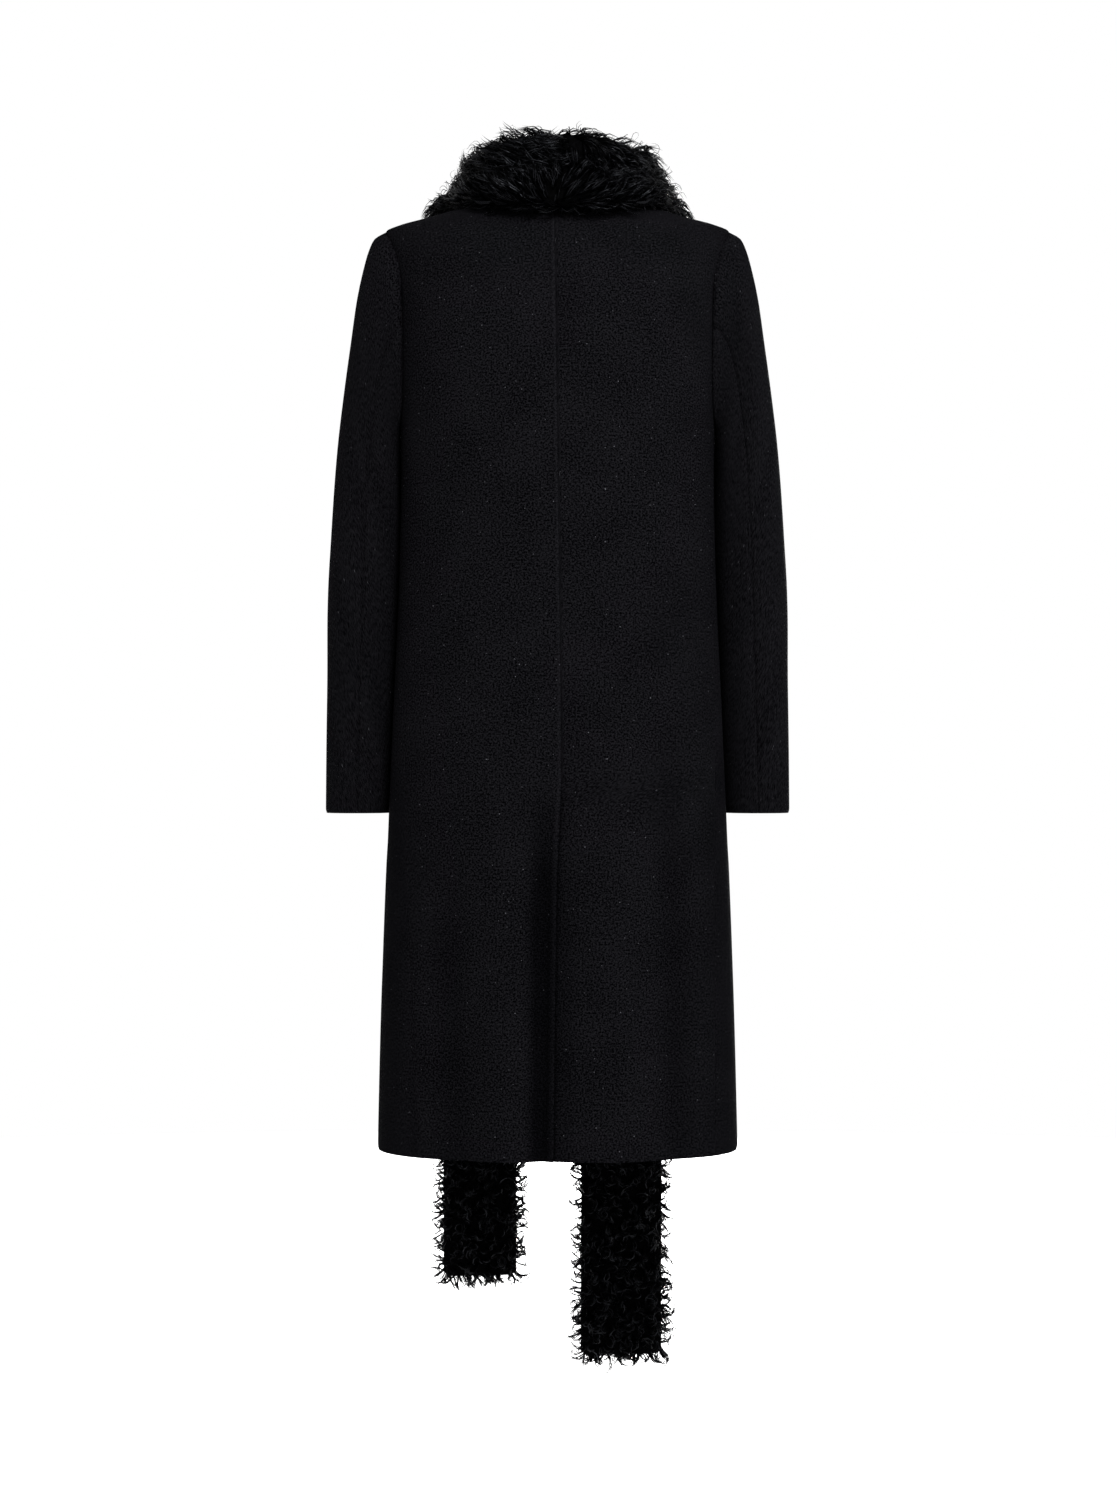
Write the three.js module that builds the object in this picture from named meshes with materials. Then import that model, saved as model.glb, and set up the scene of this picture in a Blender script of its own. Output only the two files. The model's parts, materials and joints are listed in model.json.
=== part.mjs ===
// A long wool coat with a curly shearling scarf collar, hollow and standing as if worn.
// Sizes are millimetres and +Z is up. The wearer faces -Y, so the coat's back faces +Y and
// the wearer's left is +X. The origin is in the middle of the neck opening, level with the
// seam at the back of the neck.

import * as THREE from "three";

// Cloth and seams
const CLOTH = 2.5; // double-faced wool
const SEAM = 0.3; // clear space between two pieces at a seam
const ARMHOLE_SEAM = 0.45; // the same round the armhole, where the cloth turns a corner
const UNDER = 3.2; // how far a lapped edge lies under the piece above it

// Main heights
const HEM_Z = -1020;
const NECK_TOP_Z = 7.6;
const SHOULDER_Z = -23;
const ARMPIT_Z = -238;
const VENT_TOP_Z = -618;
const SINK_Z = -560; // from here down the right back sinks to pass under the left one

// Laps
const VENT_LAP = 38; // the right back reaches this far under the left back
const VENT_SLANT = 24; // drop from the vent's top to the full lap
const FRONT_LAP = 35; // each front reaches this far past the centre front
const LAP_EASE = 14; // width over which a lapped piece sinks under the other

// The raised seam down the centre back, which runs on as the edge of the vent
const RIDGE_HIGH = 1;
const RIDGE_WIDE = 4;
const VENT_RIDGE_WIDE = 6.5;
const RIDGE_SIDE = 2.5; // width of the slope beside the ridge

// Columns of each wall: near the lapped edges at fixed distances from the seam, then evenly
const BACK_MARKS = [0, 6.5, 9, 16, 23, 30, 38];
const CLOSED_MARKS = [0, 4, 6.5, 12, 18, 26, 36]; // where the centre back seam is closed
const FRONT_MARKS = [0, 9, 18, 26, 35];
const BACK_COLUMNS = 7;
const FRONT_COLUMNS = 8;
const ARMHOLE_STEP = 15; // degrees round the armhole

// The coat's girth at each height: half width, depth behind and before the middle, and how
// square the section is (2 is an ellipse).
const GIRTH = [
  { z: -1020, half: 196, back: 150, front: 150, square: 2.2 },
  { z: -860, half: 192, back: 144, front: 146, square: 2.25 },
  { z: -660, half: 184.3, back: 135, front: 141, square: 2.35 },
  { z: -520, half: 178.5, back: 128, front: 137, square: 2.4 },
  { z: -400, half: 173.6, back: 124, front: 135, square: 2.45 },
  { z: -300, half: 171.4, back: 123, front: 134, square: 2.5 },
  { z: -238, half: 171, back: 124, front: 132, square: 2.55 },
  { z: -160, half: 171.5, back: 124, front: 127, square: 2.6 },
  { z: -105, half: 173, back: 118, front: 115, square: 2.5 },
  { z: -80, half: 176, back: 111, front: 105, square: 2.4 },
  { z: -58, half: 180.5, back: 102, front: 94, square: 2.3 },
  { z: -39, half: 185, back: 92, front: 82.5, square: 2.2 },
  { z: -23, half: 187, back: 81, front: 72, square: 2.1 },
  { z: -17, half: 174.5, back: 76.5, front: 67.5, square: 2.05 },
  { z: -9, half: 145, back: 69.5, front: 60, square: 2 },
  { z: 0, half: 113, back: 61.5, front: 51, square: 2 },
  { z: 8, half: 77, back: 55, front: 44, square: 2 },
];

// The centre back seam wanders a little from the middle.
const CENTRE_BACK = [
  { z: -1020, x: 4.4 },
  { z: -740, x: 1 },
  { z: -614, x: -3.5 },
  { z: -315, x: -0.5 },
  { z: 8, x: 4 },
];

// The seam between back and front pieces, as a share of the half width, on each side.
const SIDE_SEAM = [
  { z: -1020, left: 0.745, right: 0.86 },
  { z: -802, left: 0.83, right: 0.885 },
  { z: -677, left: 0.87, right: 0.915 },
  { z: -432, left: 0.965, right: 0.965 },
  { z: -238, left: 0.9985, right: 0.9985 },
];

// The back neckline rises from the centre back to the neck point of the shoulder.
const BACK_NECK = [
  { z: 0, x: 0 },
  { z: 4, x: 50 },
  { z: 8, x: 73 },
];

// The edge of each front, from the lapped corner up to the neck point. A negative x is past
// the centre front.
const FRONT_NECK = [
  { z: -190, x: -FRONT_LAP },
  { z: -160, x: -18 },
  { z: -130, x: 0 },
  { z: -100, x: 17 },
  { z: -70, x: 34 },
  { z: -40, x: 51 },
  { z: -20, x: 62 },
  { z: 8, x: 74 },
];

// The armhole's edge on the back and front pieces, by angle down from the shoulder point.
const ARMHOLE = [
  { angle: 0, back: 187, front: 187 },
  { angle: 15, back: 185.6, front: 185.4 },
  { angle: 30, back: 180, front: 178.5 },
  { angle: 45, back: 173.8, front: 169 },
  { angle: 60, back: 169.3, front: 161.5 },
  { angle: 75, back: 167.4, front: 157 },
  { angle: 90, back: 166.8, front: 154.5 },
  { angle: 105, back: 166.6, front: 153.8 },
  { angle: 120, back: 166.6, front: 155 },
  { angle: 135, back: 167, front: 158 },
  { angle: 150, back: 168.2, front: 163 },
  { angle: 165, back: 169.8, front: 168.5 },
  { angle: 180, back: 170.7, front: 170.7 },
];

// Soft vertical folds: where each runs at its top and bottom, the heights between which it
// grows, its half width and how far it stands out. Face is 1 on the back and -1 on the front.
const FOLDS = [
  { face: 1, topX: 15, lowX: 21, startZ: -600, fullZ: -820, wide: 17, out: -6.5 },
  { face: 1, topX: 60, lowX: 52, startZ: -700, fullZ: -960, wide: 24, out: 4 },
  { face: 1, topX: -58, lowX: -76, startZ: -500, fullZ: -900, wide: 33, out: 6 },
  { face: 1, topX: -8, lowX: -12, startZ: -620, fullZ: -800, wide: 13, out: -4 },
  { face: 1, topX: -112, lowX: -128, startZ: -480, fullZ: -760, wide: 24, out: -4 },
  { face: 1, topX: 118, lowX: 104, startZ: -560, fullZ: -940, wide: 26, out: -4 },
  { face: -1, topX: 70, lowX: 96, startZ: -320, fullZ: -860, wide: 30, out: 5 },
  { face: -1, topX: -66, lowX: -88, startZ: -300, fullZ: -900, wide: 32, out: 5.5 },
  { face: -1, topX: 118, lowX: 146, startZ: -420, fullZ: -900, wide: 26, out: -4.5 },
  { face: -1, topX: -120, lowX: -140, startZ: -460, fullZ: -920, wide: 26, out: -4 },
  { face: -1, topX: -20, lowX: -34, startZ: -380, fullZ: -940, wide: 24, out: -3.5 },
];

// The sleeve's rings, from the armhole to the cuff: its outer and inner edge in the XZ plane,
// where its middle lies in Y, its half depth, how much of the armhole's own shape it keeps and
// how deep the cloth tucks in behind the back.
const SLEEVE = [
  { outX: 187, outZ: -23, inX: 170.7, inZ: -238, midY: -12, deep: 57, keep: 1, tuck: 0 },
  { outX: 199.5, outZ: -30.5, inX: 174.3, inZ: -239.5, midY: -12, deep: 58, keep: 0.86, tuck: 4 },
  { outX: 206, outZ: -43.5, inX: 175, inZ: -243, midY: -12, deep: 59.5, keep: 0.7, tuck: 7 },
  { outX: 211.2, outZ: -61, inX: 175.2, inZ: -248, midY: -12, deep: 61.5, keep: 0.52, tuck: 8 },
  { outX: 218.6, outZ: -94, inX: 175.5, inZ: -257, midY: -12, deep: 63.5, keep: 0.32, tuck: 6 },
  { outX: 226, outZ: -145, inX: 176, inZ: -273, midY: -12, deep: 65.5, keep: 0.14, tuck: 4 },
  { outX: 233.5, outZ: -200, inX: 176.5, inZ: -297, midY: -12, deep: 66.5, keep: 0.04, tuck: 2 },
  { outX: 240.5, outZ: -260, inX: 177, inZ: -330, midY: -12, deep: 66, keep: 0, tuck: 0 },
  { outX: 245.5, outZ: -325, inX: 177.5, inZ: -370, midY: -13, deep: 65, keep: 0, tuck: 0 },
  { outX: 248.8, outZ: -392, inX: 178.6, inZ: -414, midY: -14.5, deep: 63, keep: 0, tuck: 0 },
  { outX: 250.8, outZ: -458, inX: 181.2, inZ: -467, midY: -17, deep: 60.5, keep: 0, tuck: 0 },
  { outX: 252.3, outZ: -525, inX: 184, inZ: -528, midY: -21, deep: 57.5, keep: 0, tuck: 0 },
  { outX: 253.4, outZ: -590, inX: 186.4, inZ: -590.6, midY: -24.5, deep: 54.5, keep: 0, tuck: 0 },
  { outX: 254.2, outZ: -655.6, inX: 188.4, inZ: -655.6, midY: -28, deep: 52, keep: 0, tuck: 0 },
];
const SLEEVE_SQUARE = 2.25;
const TUCK_ANGLE = 100; // the tuck's place round the sleeve, from the outer edge to the back
const TUCK_SPREAD = 34;
const SLEEVE_BACK_SEAM = 90;
const SLEEVE_FRONT_SEAM = -75;

// Slanting folds on the sleeves: where they start and end down the sleeve (0 to 1) and round
// it, their half width in degrees and how far they stand out.
const SLEEVE_FOLDS = [
  { start: 0.12, end: 0.5, fromAngle: 20, toAngle: 88, wide: 17, out: 2.6 },
  { start: 0.2, end: 0.62, fromAngle: 58, toAngle: 118, wide: 16, out: -2.6 },
  { start: 0.5, end: 0.85, fromAngle: -60, toAngle: 20, wide: 22, out: 2.4 },
  { start: 0.3, end: 0.75, fromAngle: -40, toAngle: -110, wide: 20, out: -2.6 },
];

// The fur band's middle line from the centre back round the neck to the collarbone, with the
// direction from its lower to its upper edge, its width and its thickness.
const COLLAR = [
  { at: [0, 80, 40], up: [0, -0.14, 1], wide: 89, thick: 34 },
  { at: [37, 75, 40], up: [-0.1, -0.14, 1], wide: 86, thick: 34 },
  { at: [68, 57, 39], up: [-0.24, -0.1, 1], wide: 77, thick: 34 },
  { at: [86, 26, 39.5], up: [-0.42, -0.04, 0.96], wide: 66, thick: 33 },
  { at: [91, -12, 38], up: [-0.55, 0.06, 0.88], wide: 72, thick: 34 },
  { at: [94, -52, 23], up: [-0.8, 0.2, 0.6], wide: 88, thick: 34 },
  { at: [92, -87, -13], up: [-0.95, -0.1, 0.34], wide: 91, thick: 35 },
];

const COLLAR_LEAN = { shift: -4, tilt: 0.01 }; // the collar sits to the wearer's right

// The two ends of the scarf hang over the fronts and past the hem. Each row gives a height,
// the two middles in X and the band's thickness.
const SCARF = [
  { z: -52, left: 93, right: -92, thick: 36 },
  { z: -110, left: 92, right: -90, thick: 35 },
  { z: -200, left: 91, right: -87, thick: 34 },
  { z: -420, left: 89, right: -81, thick: 33 },
  { z: -720, left: 88, right: -76, thick: 33 },
  { z: -1020, left: 88, right: -73, thick: 34 },
  { z: -1180, left: 88, right: -72, thick: 34 },
  { z: -1280, left: 88, right: -72, thick: 34 },
];
const SCARF_LEFT = { side: "left", wide: 95, endZ: -1187, turn: 9 };
const SCARF_RIGHT = { side: "right", wide: 104, endZ: -1277, turn: -7 };
const SCARF_TIP = 9; // length of the rounded tip
const SCARF_STEP = 34; // length between two sections
const SCARF_CLEAR = 1.6; // the fur's least distance from the cloth below it
const FUR_SIDES = 14;
const FUR_SQUARE = 3; // how square the band's section is
const LOCKS = { size: 27, out: 1.8 }; // clumps of curls: their length and height

const RAD = Math.PI / 180;
const mix = (a, b, t) => a + (b - a) * t;
const clamp = (t, low, high) => Math.min(high, Math.max(low, t));
const ease = (t) => {
  const u = clamp(t, 0, 1);
  return u * u * (3 - 2 * u);
};
const vector = (x, y, z) => new THREE.Vector3(x, y, z);

// The value of one column of a table at t, on a smooth curve that never overshoots a row.
function read(table, key, value, t) {
  const last = table.length - 1;
  const up = table[0][key] < table[last][key];
  const row = (i) => table[up ? i : last - i];
  let i = 0;
  while (i < last - 1 && t > row(i + 1)[key]) i++;
  const slope = (j) => (row(j + 1)[value] - row(j)[value]) / (row(j + 1)[key] - row(j)[key]);
  const bend = (j) => {
    if (j === 0) return slope(0);
    if (j === last) return slope(last - 1);
    const [before, after] = [slope(j - 1), slope(j)];
    return before * after <= 0 ? 0 : (2 * before * after) / (before + after);
  };
  const span = row(i + 1)[key] - row(i)[key];
  const u = clamp((t - row(i)[key]) / span, 0, 1);
  const [p, q] = [row(i)[value], row(i + 1)[value]];
  const [m, n] = [bend(i) * span, bend(i + 1) * span];
  return (
    (2 * u ** 3 - 3 * u ** 2 + 1) * p +
    (u ** 3 - 2 * u ** 2 + u) * m +
    (3 * u ** 2 - 2 * u ** 3) * q +
    (u ** 3 - u ** 2) * n
  );
}

// The coat's section at a height, with how fast its sizes change.
function girth(z) {
  const section = {};
  for (const key of ["half", "back", "front", "square"]) {
    section[key] = read(GIRTH, "z", key, z);
    section[key + "Slope"] = (read(GIRTH, "z", key, z + 1) - read(GIRTH, "z", key, z - 1)) / 2;
  }
  return section;
}

// How far the folds stand out of the plain surface.
function foldOut(x, z, face) {
  let out = 0;
  for (const fold of FOLDS) {
    if (fold.face !== face) continue;
    const grown = ease((fold.startZ - z) / (fold.startZ - fold.fullZ));
    const middle = mix(fold.topX, fold.lowX, clamp((fold.startZ - z) / (fold.startZ - HEM_Z), 0, 1));
    out += fold.out * grown * Math.exp(-(((x - middle) / fold.wide) ** 2));
  }
  return out;
}

// A point on the coat at a height and an angle round it: 0 is the centre back, 90 the wearer's
// left side, 180 the centre front and -90 the right side. The point stands `out` off the cloth.
function onBody(z, angle, out = 0) {
  const { half, back, front, square, halfSlope, backSlope, frontSlope } = girth(z);
  const [sin, cos] = [Math.sin(angle * RAD), Math.cos(angle * RAD)];
  const face = cos >= 0 ? 1 : -1;
  const depth = face > 0 ? back : front;
  const depthSlope = face > 0 ? backSlope : frontSlope;
  const [across, along] = [Math.abs(sin) ** (2 / square), Math.abs(cos) ** (2 / square)];
  const point = vector(half * across * Math.sign(sin), depth * along * face, z);
  const normal = vector(
    (across ** (square - 1) * Math.sign(sin)) / half,
    (along ** (square - 1) * face) / depth,
    -((across ** square * halfSlope) / half + (along ** square * depthSlope) / depth),
  ).normalize();
  point.addScaledVector(normal, out + foldOut(point.x, z, face));
  return { point, normal };
}

// The angle on the back (face 1) or front (face -1) at which the coat has a given x.
function angleAt(z, x, face) {
  const { half, square } = girth(z);
  const back = Math.asin(clamp(Math.abs(x) / half, 0, 1) ** (square / 2)) / RAD;
  return (Math.sign(x) || 1) * (face > 0 ? back : 180 - back);
}

// The change of angle that moves a point by a length along the girth.
function turnFor(z, angle, length) {
  const step = 0.5;
  const span = onBody(z, angle + step).point.distanceTo(onBody(z, angle - step).point);
  return (length / span) * 2 * step;
}

// The heights of the body's rows, closest where the armhole and the shoulder bend.
function bodyRows() {
  const below = [-1020, -940, -860, -780, -710, -642, -618, -600, -535, -470, -400, -335, -280];
  const armhole = [];
  for (let angle = 180; angle >= 0; angle -= ARMHOLE_STEP) armhole.push(armholeZ(angle));
  const shoulder = [-18, -13, -7, -1, 3.5];
  return [...below, ...armhole, ...shoulder, NECK_TOP_Z];
}

function armholeZ(angle) {
  return (SHOULDER_Z + ARMPIT_Z) / 2 + ((SHOULDER_Z - ARMPIT_Z) / 2) * Math.cos(angle * RAD);
}

// The angle of the armhole at which it has a given height.
function armholeAngle(z) {
  const middle = (SHOULDER_Z + ARMPIT_Z) / 2;
  return Math.acos(clamp((z - middle) / (SHOULDER_Z - middle), -1, 1)) / RAD;
}

// The sleeve's surface, as a point at each ring and armhole angle, for the wearer's left arm.
// Angle 0 is the outer edge, 90 the back and -90 the front.
function sleevePoint(ring, angle) {
  const row = {};
  for (const key of Object.keys(SLEEVE[0])) row[key] = SLEEVE[ring][key];
  const [sin, cos] = [Math.sin(angle * RAD), Math.cos(angle * RAD)];
  const power = ring === 0 ? 1 : 2 / SLEEVE_SQUARE;
  const [round, deep] = [Math.abs(cos) ** power, Math.abs(sin) ** power];
  const share = 0.5 + 0.5 * round * Math.sign(cos);
  const point = vector(
    mix(row.inX, row.outX, share),
    row.midY + row.deep * deep * Math.sign(sin),
    mix(row.inZ, row.outZ, share),
  );
  const middle = vector((row.inX + row.outX) / 2, row.midY, (row.inZ + row.outZ) / 2);
  const outward = point.clone().sub(middle).normalize();
  const down = ring / (SLEEVE.length - 1);
  for (const fold of SLEEVE_FOLDS) {
    const t = (down - fold.start) / (fold.end - fold.start);
    const grown = Math.sin(clamp(t, 0, 1) * Math.PI) ** 2;
    const away = (angle - mix(fold.fromAngle, fold.toAngle, t)) / fold.wide;
    point.addScaledVector(outward, fold.out * grown * Math.exp(-(away ** 2)));
  }
  point.y -= row.tuck * Math.exp(-(((angle - TUCK_ANGLE) / TUCK_SPREAD) ** 2));
  if (row.keep > 0) {
    const edge = armholeEdge(angle).point;
    const plain = plainArmhole(angle);
    point.addScaledVector(edge.sub(plain), row.keep);
  }
  return point;
}

// The armhole if it were a plain ellipse, which the true one is measured from.
function plainArmhole(angle) {
  const { outX, outZ, inX, inZ, midY, deep } = SLEEVE[0];
  const share = 0.5 + 0.5 * Math.cos(angle * RAD);
  return vector(mix(inX, outX, share), midY + deep * Math.sin(angle * RAD), mix(inZ, outZ, share));
}

// The body's edge at the armhole: back of the arm for a positive angle, front for a negative.
function armholeEdge(angle) {
  const z = armholeZ(angle);
  const [face, key] = angle >= 0 ? [1, "back"] : [-1, "front"];
  const x = read(ARMHOLE, "angle", key, Math.abs(angle));
  const around = Math.abs(angle) === 0 ? 90 : angleAt(z, x, Math.abs(angle) === 180 ? 1 : face);
  return onBody(z, around);
}

const sleeveRings = SLEEVE.map((_, ring) => ring);
const sleeveAngles = [];
for (let angle = -180 + ARMHOLE_STEP; angle <= 180; angle += ARMHOLE_STEP) sleeveAngles.push(angle);
const wrapAngle = (angle) => (angle > 180 ? angle - 360 : angle <= -180 ? angle + 360 : angle);

// The outward direction of the sleeve's cloth at a ring and angle.
function sleeveNormal(ring, angle) {
  const next = Math.min(ring + 1, SLEEVE.length - 1);
  const down = sleevePoint(next, angle).sub(sleevePoint(Math.max(next - 2, 0), angle));
  const ahead = sleevePoint(ring, wrapAngle(angle + ARMHOLE_STEP));
  const round = ahead.sub(sleevePoint(ring, wrapAngle(angle - ARMHOLE_STEP)));
  return down.cross(round).normalize();
}

// Where body and sleeve meet: the edge, the way into the cloth, which both walls share, and
// the way across the seam from the body to the sleeve.
function armholeSeam(angle) {
  const { point, normal } = armholeEdge(angle);
  const sleeve = sleeveNormal(0, angle);
  const inward = normal.clone().add(sleeve).normalize().negate();
  const length = CLOTH / clamp(-inward.dot(normal), 0.62, 1);
  const step = ARMHOLE_STEP / 2;
  const along = armholeEdge(wrapAngle(angle + step)).point;
  along.sub(armholeEdge(wrapAngle(angle - step)).point).normalize();
  const across = along.cross(inward).normalize();
  if (across.x < 0) across.negate();
  return { point, inner: point.clone().addScaledVector(inward, length), across };
}

const mirrored = (point) => vector(-point.x, point.y, point.z);

// A closed wall between an outer and an inner grid of points.
function wall(outer, inner) {
  const rows = outer.length;
  const columns = outer[0].length;
  const points = [...outer.flat(), ...inner.flat()];
  const at = (layer, row, column) => (layer * rows + row) * columns + column;
  const faces = [];
  const square = (a, b, c, d) => faces.push(a, b, c, a, c, d);
  for (let r = 0; r + 1 < rows; r++) {
    for (let c = 0; c + 1 < columns; c++) {
      square(at(0, r, c), at(0, r, c + 1), at(0, r + 1, c + 1), at(0, r + 1, c));
      square(at(1, r, c), at(1, r + 1, c), at(1, r + 1, c + 1), at(1, r, c + 1));
    }
    square(at(0, r, 0), at(0, r + 1, 0), at(1, r + 1, 0), at(1, r, 0));
    const c = columns - 1;
    square(at(0, r, c), at(1, r, c), at(1, r + 1, c), at(0, r + 1, c));
  }
  for (let c = 0; c + 1 < columns; c++) {
    square(at(0, 0, c), at(1, 0, c), at(1, 0, c + 1), at(0, 0, c + 1));
    const r = rows - 1;
    square(at(0, r, c), at(0, r, c + 1), at(1, r, c + 1), at(1, r, c));
  }
  return solid(points, faces);
}

// A geometry from points and faces, turned the right way out.
function solid(points, faces) {
  let volume = 0;
  for (let i = 0; i < faces.length; i += 3) {
    const [a, b, c] = [points[faces[i]], points[faces[i + 1]], points[faces[i + 2]]];
    volume += a.dot(b.clone().cross(c));
  }
  const turned = volume < 0 ? faces.reverse() : faces;
  const geometry = new THREE.BufferGeometry().setFromPoints(points);
  geometry.setIndex(turned);
  geometry.computeVertexNormals();
  return geometry;
}

// How far the centre back ridge lifts the cloth at a distance from the seam.
function ridgeOut(distance, z) {
  const wide = z < VENT_TOP_Z ? VENT_RIDGE_WIDE : RIDGE_WIDE;
  return RIDGE_HIGH * (1 - ease((distance - wide) / RIDGE_SIDE));
}

// One back piece. Side is 1 for the wearer's left and -1 for the right. Below the vent's top
// the right piece reaches under the left one, with its columns in the same places.
function backPiece(side) {
  const [outer, inner] = [[], []];
  for (const z of bodyRows()) {
    const centre = read(CENTRE_BACK, "z", "x", z);
    const sunk = UNDER * ease((SINK_Z - z) / (SINK_Z - VENT_TOP_Z));
    const open = z <= VENT_TOP_Z;
    const lapped = z <= VENT_TOP_Z - VENT_SLANT;
    const { angle: lastAngle, seam } = sideOf(z, side, 1);
    let angles;
    if (z > 0) {
      const first = angleAt(z, side * read(BACK_NECK, "z", "x", z), 1);
      angles = BACK_MARKS.map((_, i) => mix(first, lastAngle, (0.4 * i) / BACK_MARKS.length));
    } else if (side < 0 && open) {
      const marks = [...BACK_MARKS].reverse();
      angles = marks.map((x, i) => angleAt(z, centre + (lapped ? x : -SEAM / 2 - 0.4 * i), 1));
      angles.push(angleAt(z, centre - (lapped ? 1 : 3), 1), angleAt(z, centre - LAP_EASE, 1));
    } else {
      const marks = lapped ? BACK_MARKS : CLOSED_MARKS;
      angles = marks.map((x) => angleAt(z, centre + side * (x + SEAM / 2), 1));
    }
    const columns = BACK_MARKS.length + BACK_COLUMNS + (side < 0 ? 2 : 0) - angles.length;
    const from = angles[angles.length - 1];
    for (let c = 1; c <= columns; c++) angles.push(mix(from, lastAngle, c / columns));
    const [outerRow, innerRow] = [[], []];
    for (const angle of angles) {
      const past = onBody(z, angle).point.x - centre;
      let out = side > 0 && z <= 0 ? ridgeOut(past, z) : 0;
      if (side < 0) out = -sunk * ease((past + LAP_EASE) / (LAP_EASE - 1));
      outerRow.push(onBody(z, angle, out).point);
      innerRow.push(onBody(z, angle, Math.min(out, 0) - CLOTH).point);
    }
    finishRow(outerRow, innerRow, seam, side);
    outer.push(outerRow);
    inner.push(innerRow);
  }
  return wall(outer, inner);
}

// The angle on the front at which the coat has a given x, for x on either side of the middle.
const frontAngle = (z, x, side) => {
  const angle = angleAt(z, x, -1);
  return side * angle < 0 ? angle + side * 360 : angle;
};

// One front piece. The right front laps over the left, whose edge sinks under it.
function frontPiece(side) {
  const [outer, inner] = [[], []];
  for (const z of bodyRows()) {
    const edge = z < FRONT_NECK[0].z ? -FRONT_LAP : read(FRONT_NECK, "z", "x", z);
    const { angle: firstAngle, seam } = sideOf(z, side, -1);
    let angles;
    if (edge < 0) {
      const marks = FRONT_MARKS.map((x) => mix(edge, -edge, x / FRONT_LAP / 2));
      marks.push(...FRONT_MARKS.slice(1).map((x) => mix(edge, -edge, 0.5 + x / FRONT_LAP / 2)));
      angles = [...marks, LAP_EASE - edge].map((x) => frontAngle(z, side * x, side));
    } else {
      const first = frontAngle(z, side * edge, side);
      const count = FRONT_MARKS.length * 2;
      angles = Array.from({ length: count }, (_, i) => mix(first, firstAngle, (0.5 * i) / count));
    }
    const from = angles[angles.length - 1];
    for (let c = 1; c <= FRONT_COLUMNS; c++) angles.push(mix(from, firstAngle, c / FRONT_COLUMNS));
    const [outerRow, innerRow] = [[], []];
    for (const angle of angles) {
      const under = -edge - onBody(z, angle).point.x; // how far it lies under the right front
      const out = side > 0 && edge < 0 ? -UNDER * ease((under + LAP_EASE) / (LAP_EASE - 1)) : 0;
      outerRow.push(onBody(z, angle, out).point);
      innerRow.push(onBody(z, angle, out - CLOTH).point);
    }
    finishRow(outerRow, innerRow, seam, side);
    outer.push(outerRow);
    inner.push(innerRow);
  }
  return wall(outer, inner);
}

// The outer end of a body row: the side seam, the armhole or the shoulder seam.
function sideOf(z, side, face) {
  const half = (face * SEAM) / 2;
  if (z >= SHOULDER_Z - 0.01) {
    const seam = z < SHOULDER_Z + 0.01 ? armholeSeam(0) : null;
    return { angle: side * (90 - turnFor(z, 90, half)), seam: seam && { ...seam, nudge: half } };
  }
  if (z > ARMPIT_Z + 0.01) {
    const angle = face * armholeAngle(z);
    const x = read(ARMHOLE, "angle", face > 0 ? "back" : "front", Math.abs(angle));
    return { angle: side * angleAt(z, x, face), seam: armholeSeam(angle) };
  }
  const x = girth(z).half * read(SIDE_SEAM, "z", side > 0 ? "left" : "right", z);
  const angle = angleAt(z, x, 1);
  const seam = z > ARMPIT_Z - 0.01 ? { ...armholeSeam(180), nudge: half } : null;
  return { angle: side * (angle - turnFor(z, angle, half)), seam };
}

// Ends a body row in the way into the cloth that the sleeve shares.
function finishRow(outerRow, innerRow, seam, side) {
  if (!seam) return;
  const inner = seam.inner.clone();
  if (seam.nudge) inner.y += seam.nudge;
  innerRow[innerRow.length - 1] = side > 0 ? inner : mirrored(inner);
}

// One sleeve piece between two seams that run down the arm, from one angle on to another.
function sleevePiece(side, fromAngle, toAngle) {
  const angles = [];
  for (let angle = fromAngle; angle <= toAngle; angle += ARMHOLE_STEP) angles.push(angle);
  const [outer, inner] = [[], []];
  for (const ring of sleeveRings) {
    const [outerRow, innerRow] = [[], []];
    for (const angle of angles) {
      const wrapped = wrapAngle(angle);
      const point = sleevePoint(ring, wrapped);
      const inside = point.clone().addScaledVector(sleeveNormal(ring, wrapped), -CLOTH);
      if (ring === 0) {
        const seam = armholeSeam(wrapped);
        point.copy(seam.point).addScaledVector(seam.across, ARMHOLE_SEAM);
        inside.copy(seam.inner).addScaledVector(seam.across, ARMHOLE_SEAM);
      }
      outerRow.push(point);
      innerRow.push(inside);
    }
    outer.push(outerRow);
    inner.push(innerRow);
  }
  for (const grid of [outer, inner]) parted(grid);
  const turned = (grid) => grid.map((row) => row.map((p) => (side > 0 ? p : mirrored(p))));
  return wall(turned(outer), turned(inner));
}

// Draws both long edges of a grid in by half a seam, square to the edge.
function parted(grid) {
  const last = grid[0].length - 1;
  for (const [end, next] of [[0, 1], [last, last - 1]]) {
    const moves = grid.map((row, i) => {
      const above = grid[Math.max(i - 1, 0)][end];
      const along = grid[Math.min(i + 1, grid.length - 1)][end].clone().sub(above).normalize();
      const way = row[next].clone().sub(row[end]);
      return way.addScaledVector(along, -way.dot(along)).setLength(SEAM / 2 + 0.02);
    });
    grid.forEach((row, i) => (row[end] = row[end].clone().add(moves[i])));
  }
}

// The small swell of the clumps of curls at a place along and round the band.
function lockOut(along, round) {
  const a = (along / LOCKS.size) * 2 * Math.PI;
  const b = round * RAD;
  const clumps = Math.sin(a) * Math.sin(2 * b + 0.6) + 0.8 * Math.sin(1.7 * a + 1) * Math.sin(3 * b);
  return LOCKS.out * clumps;
}

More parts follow.
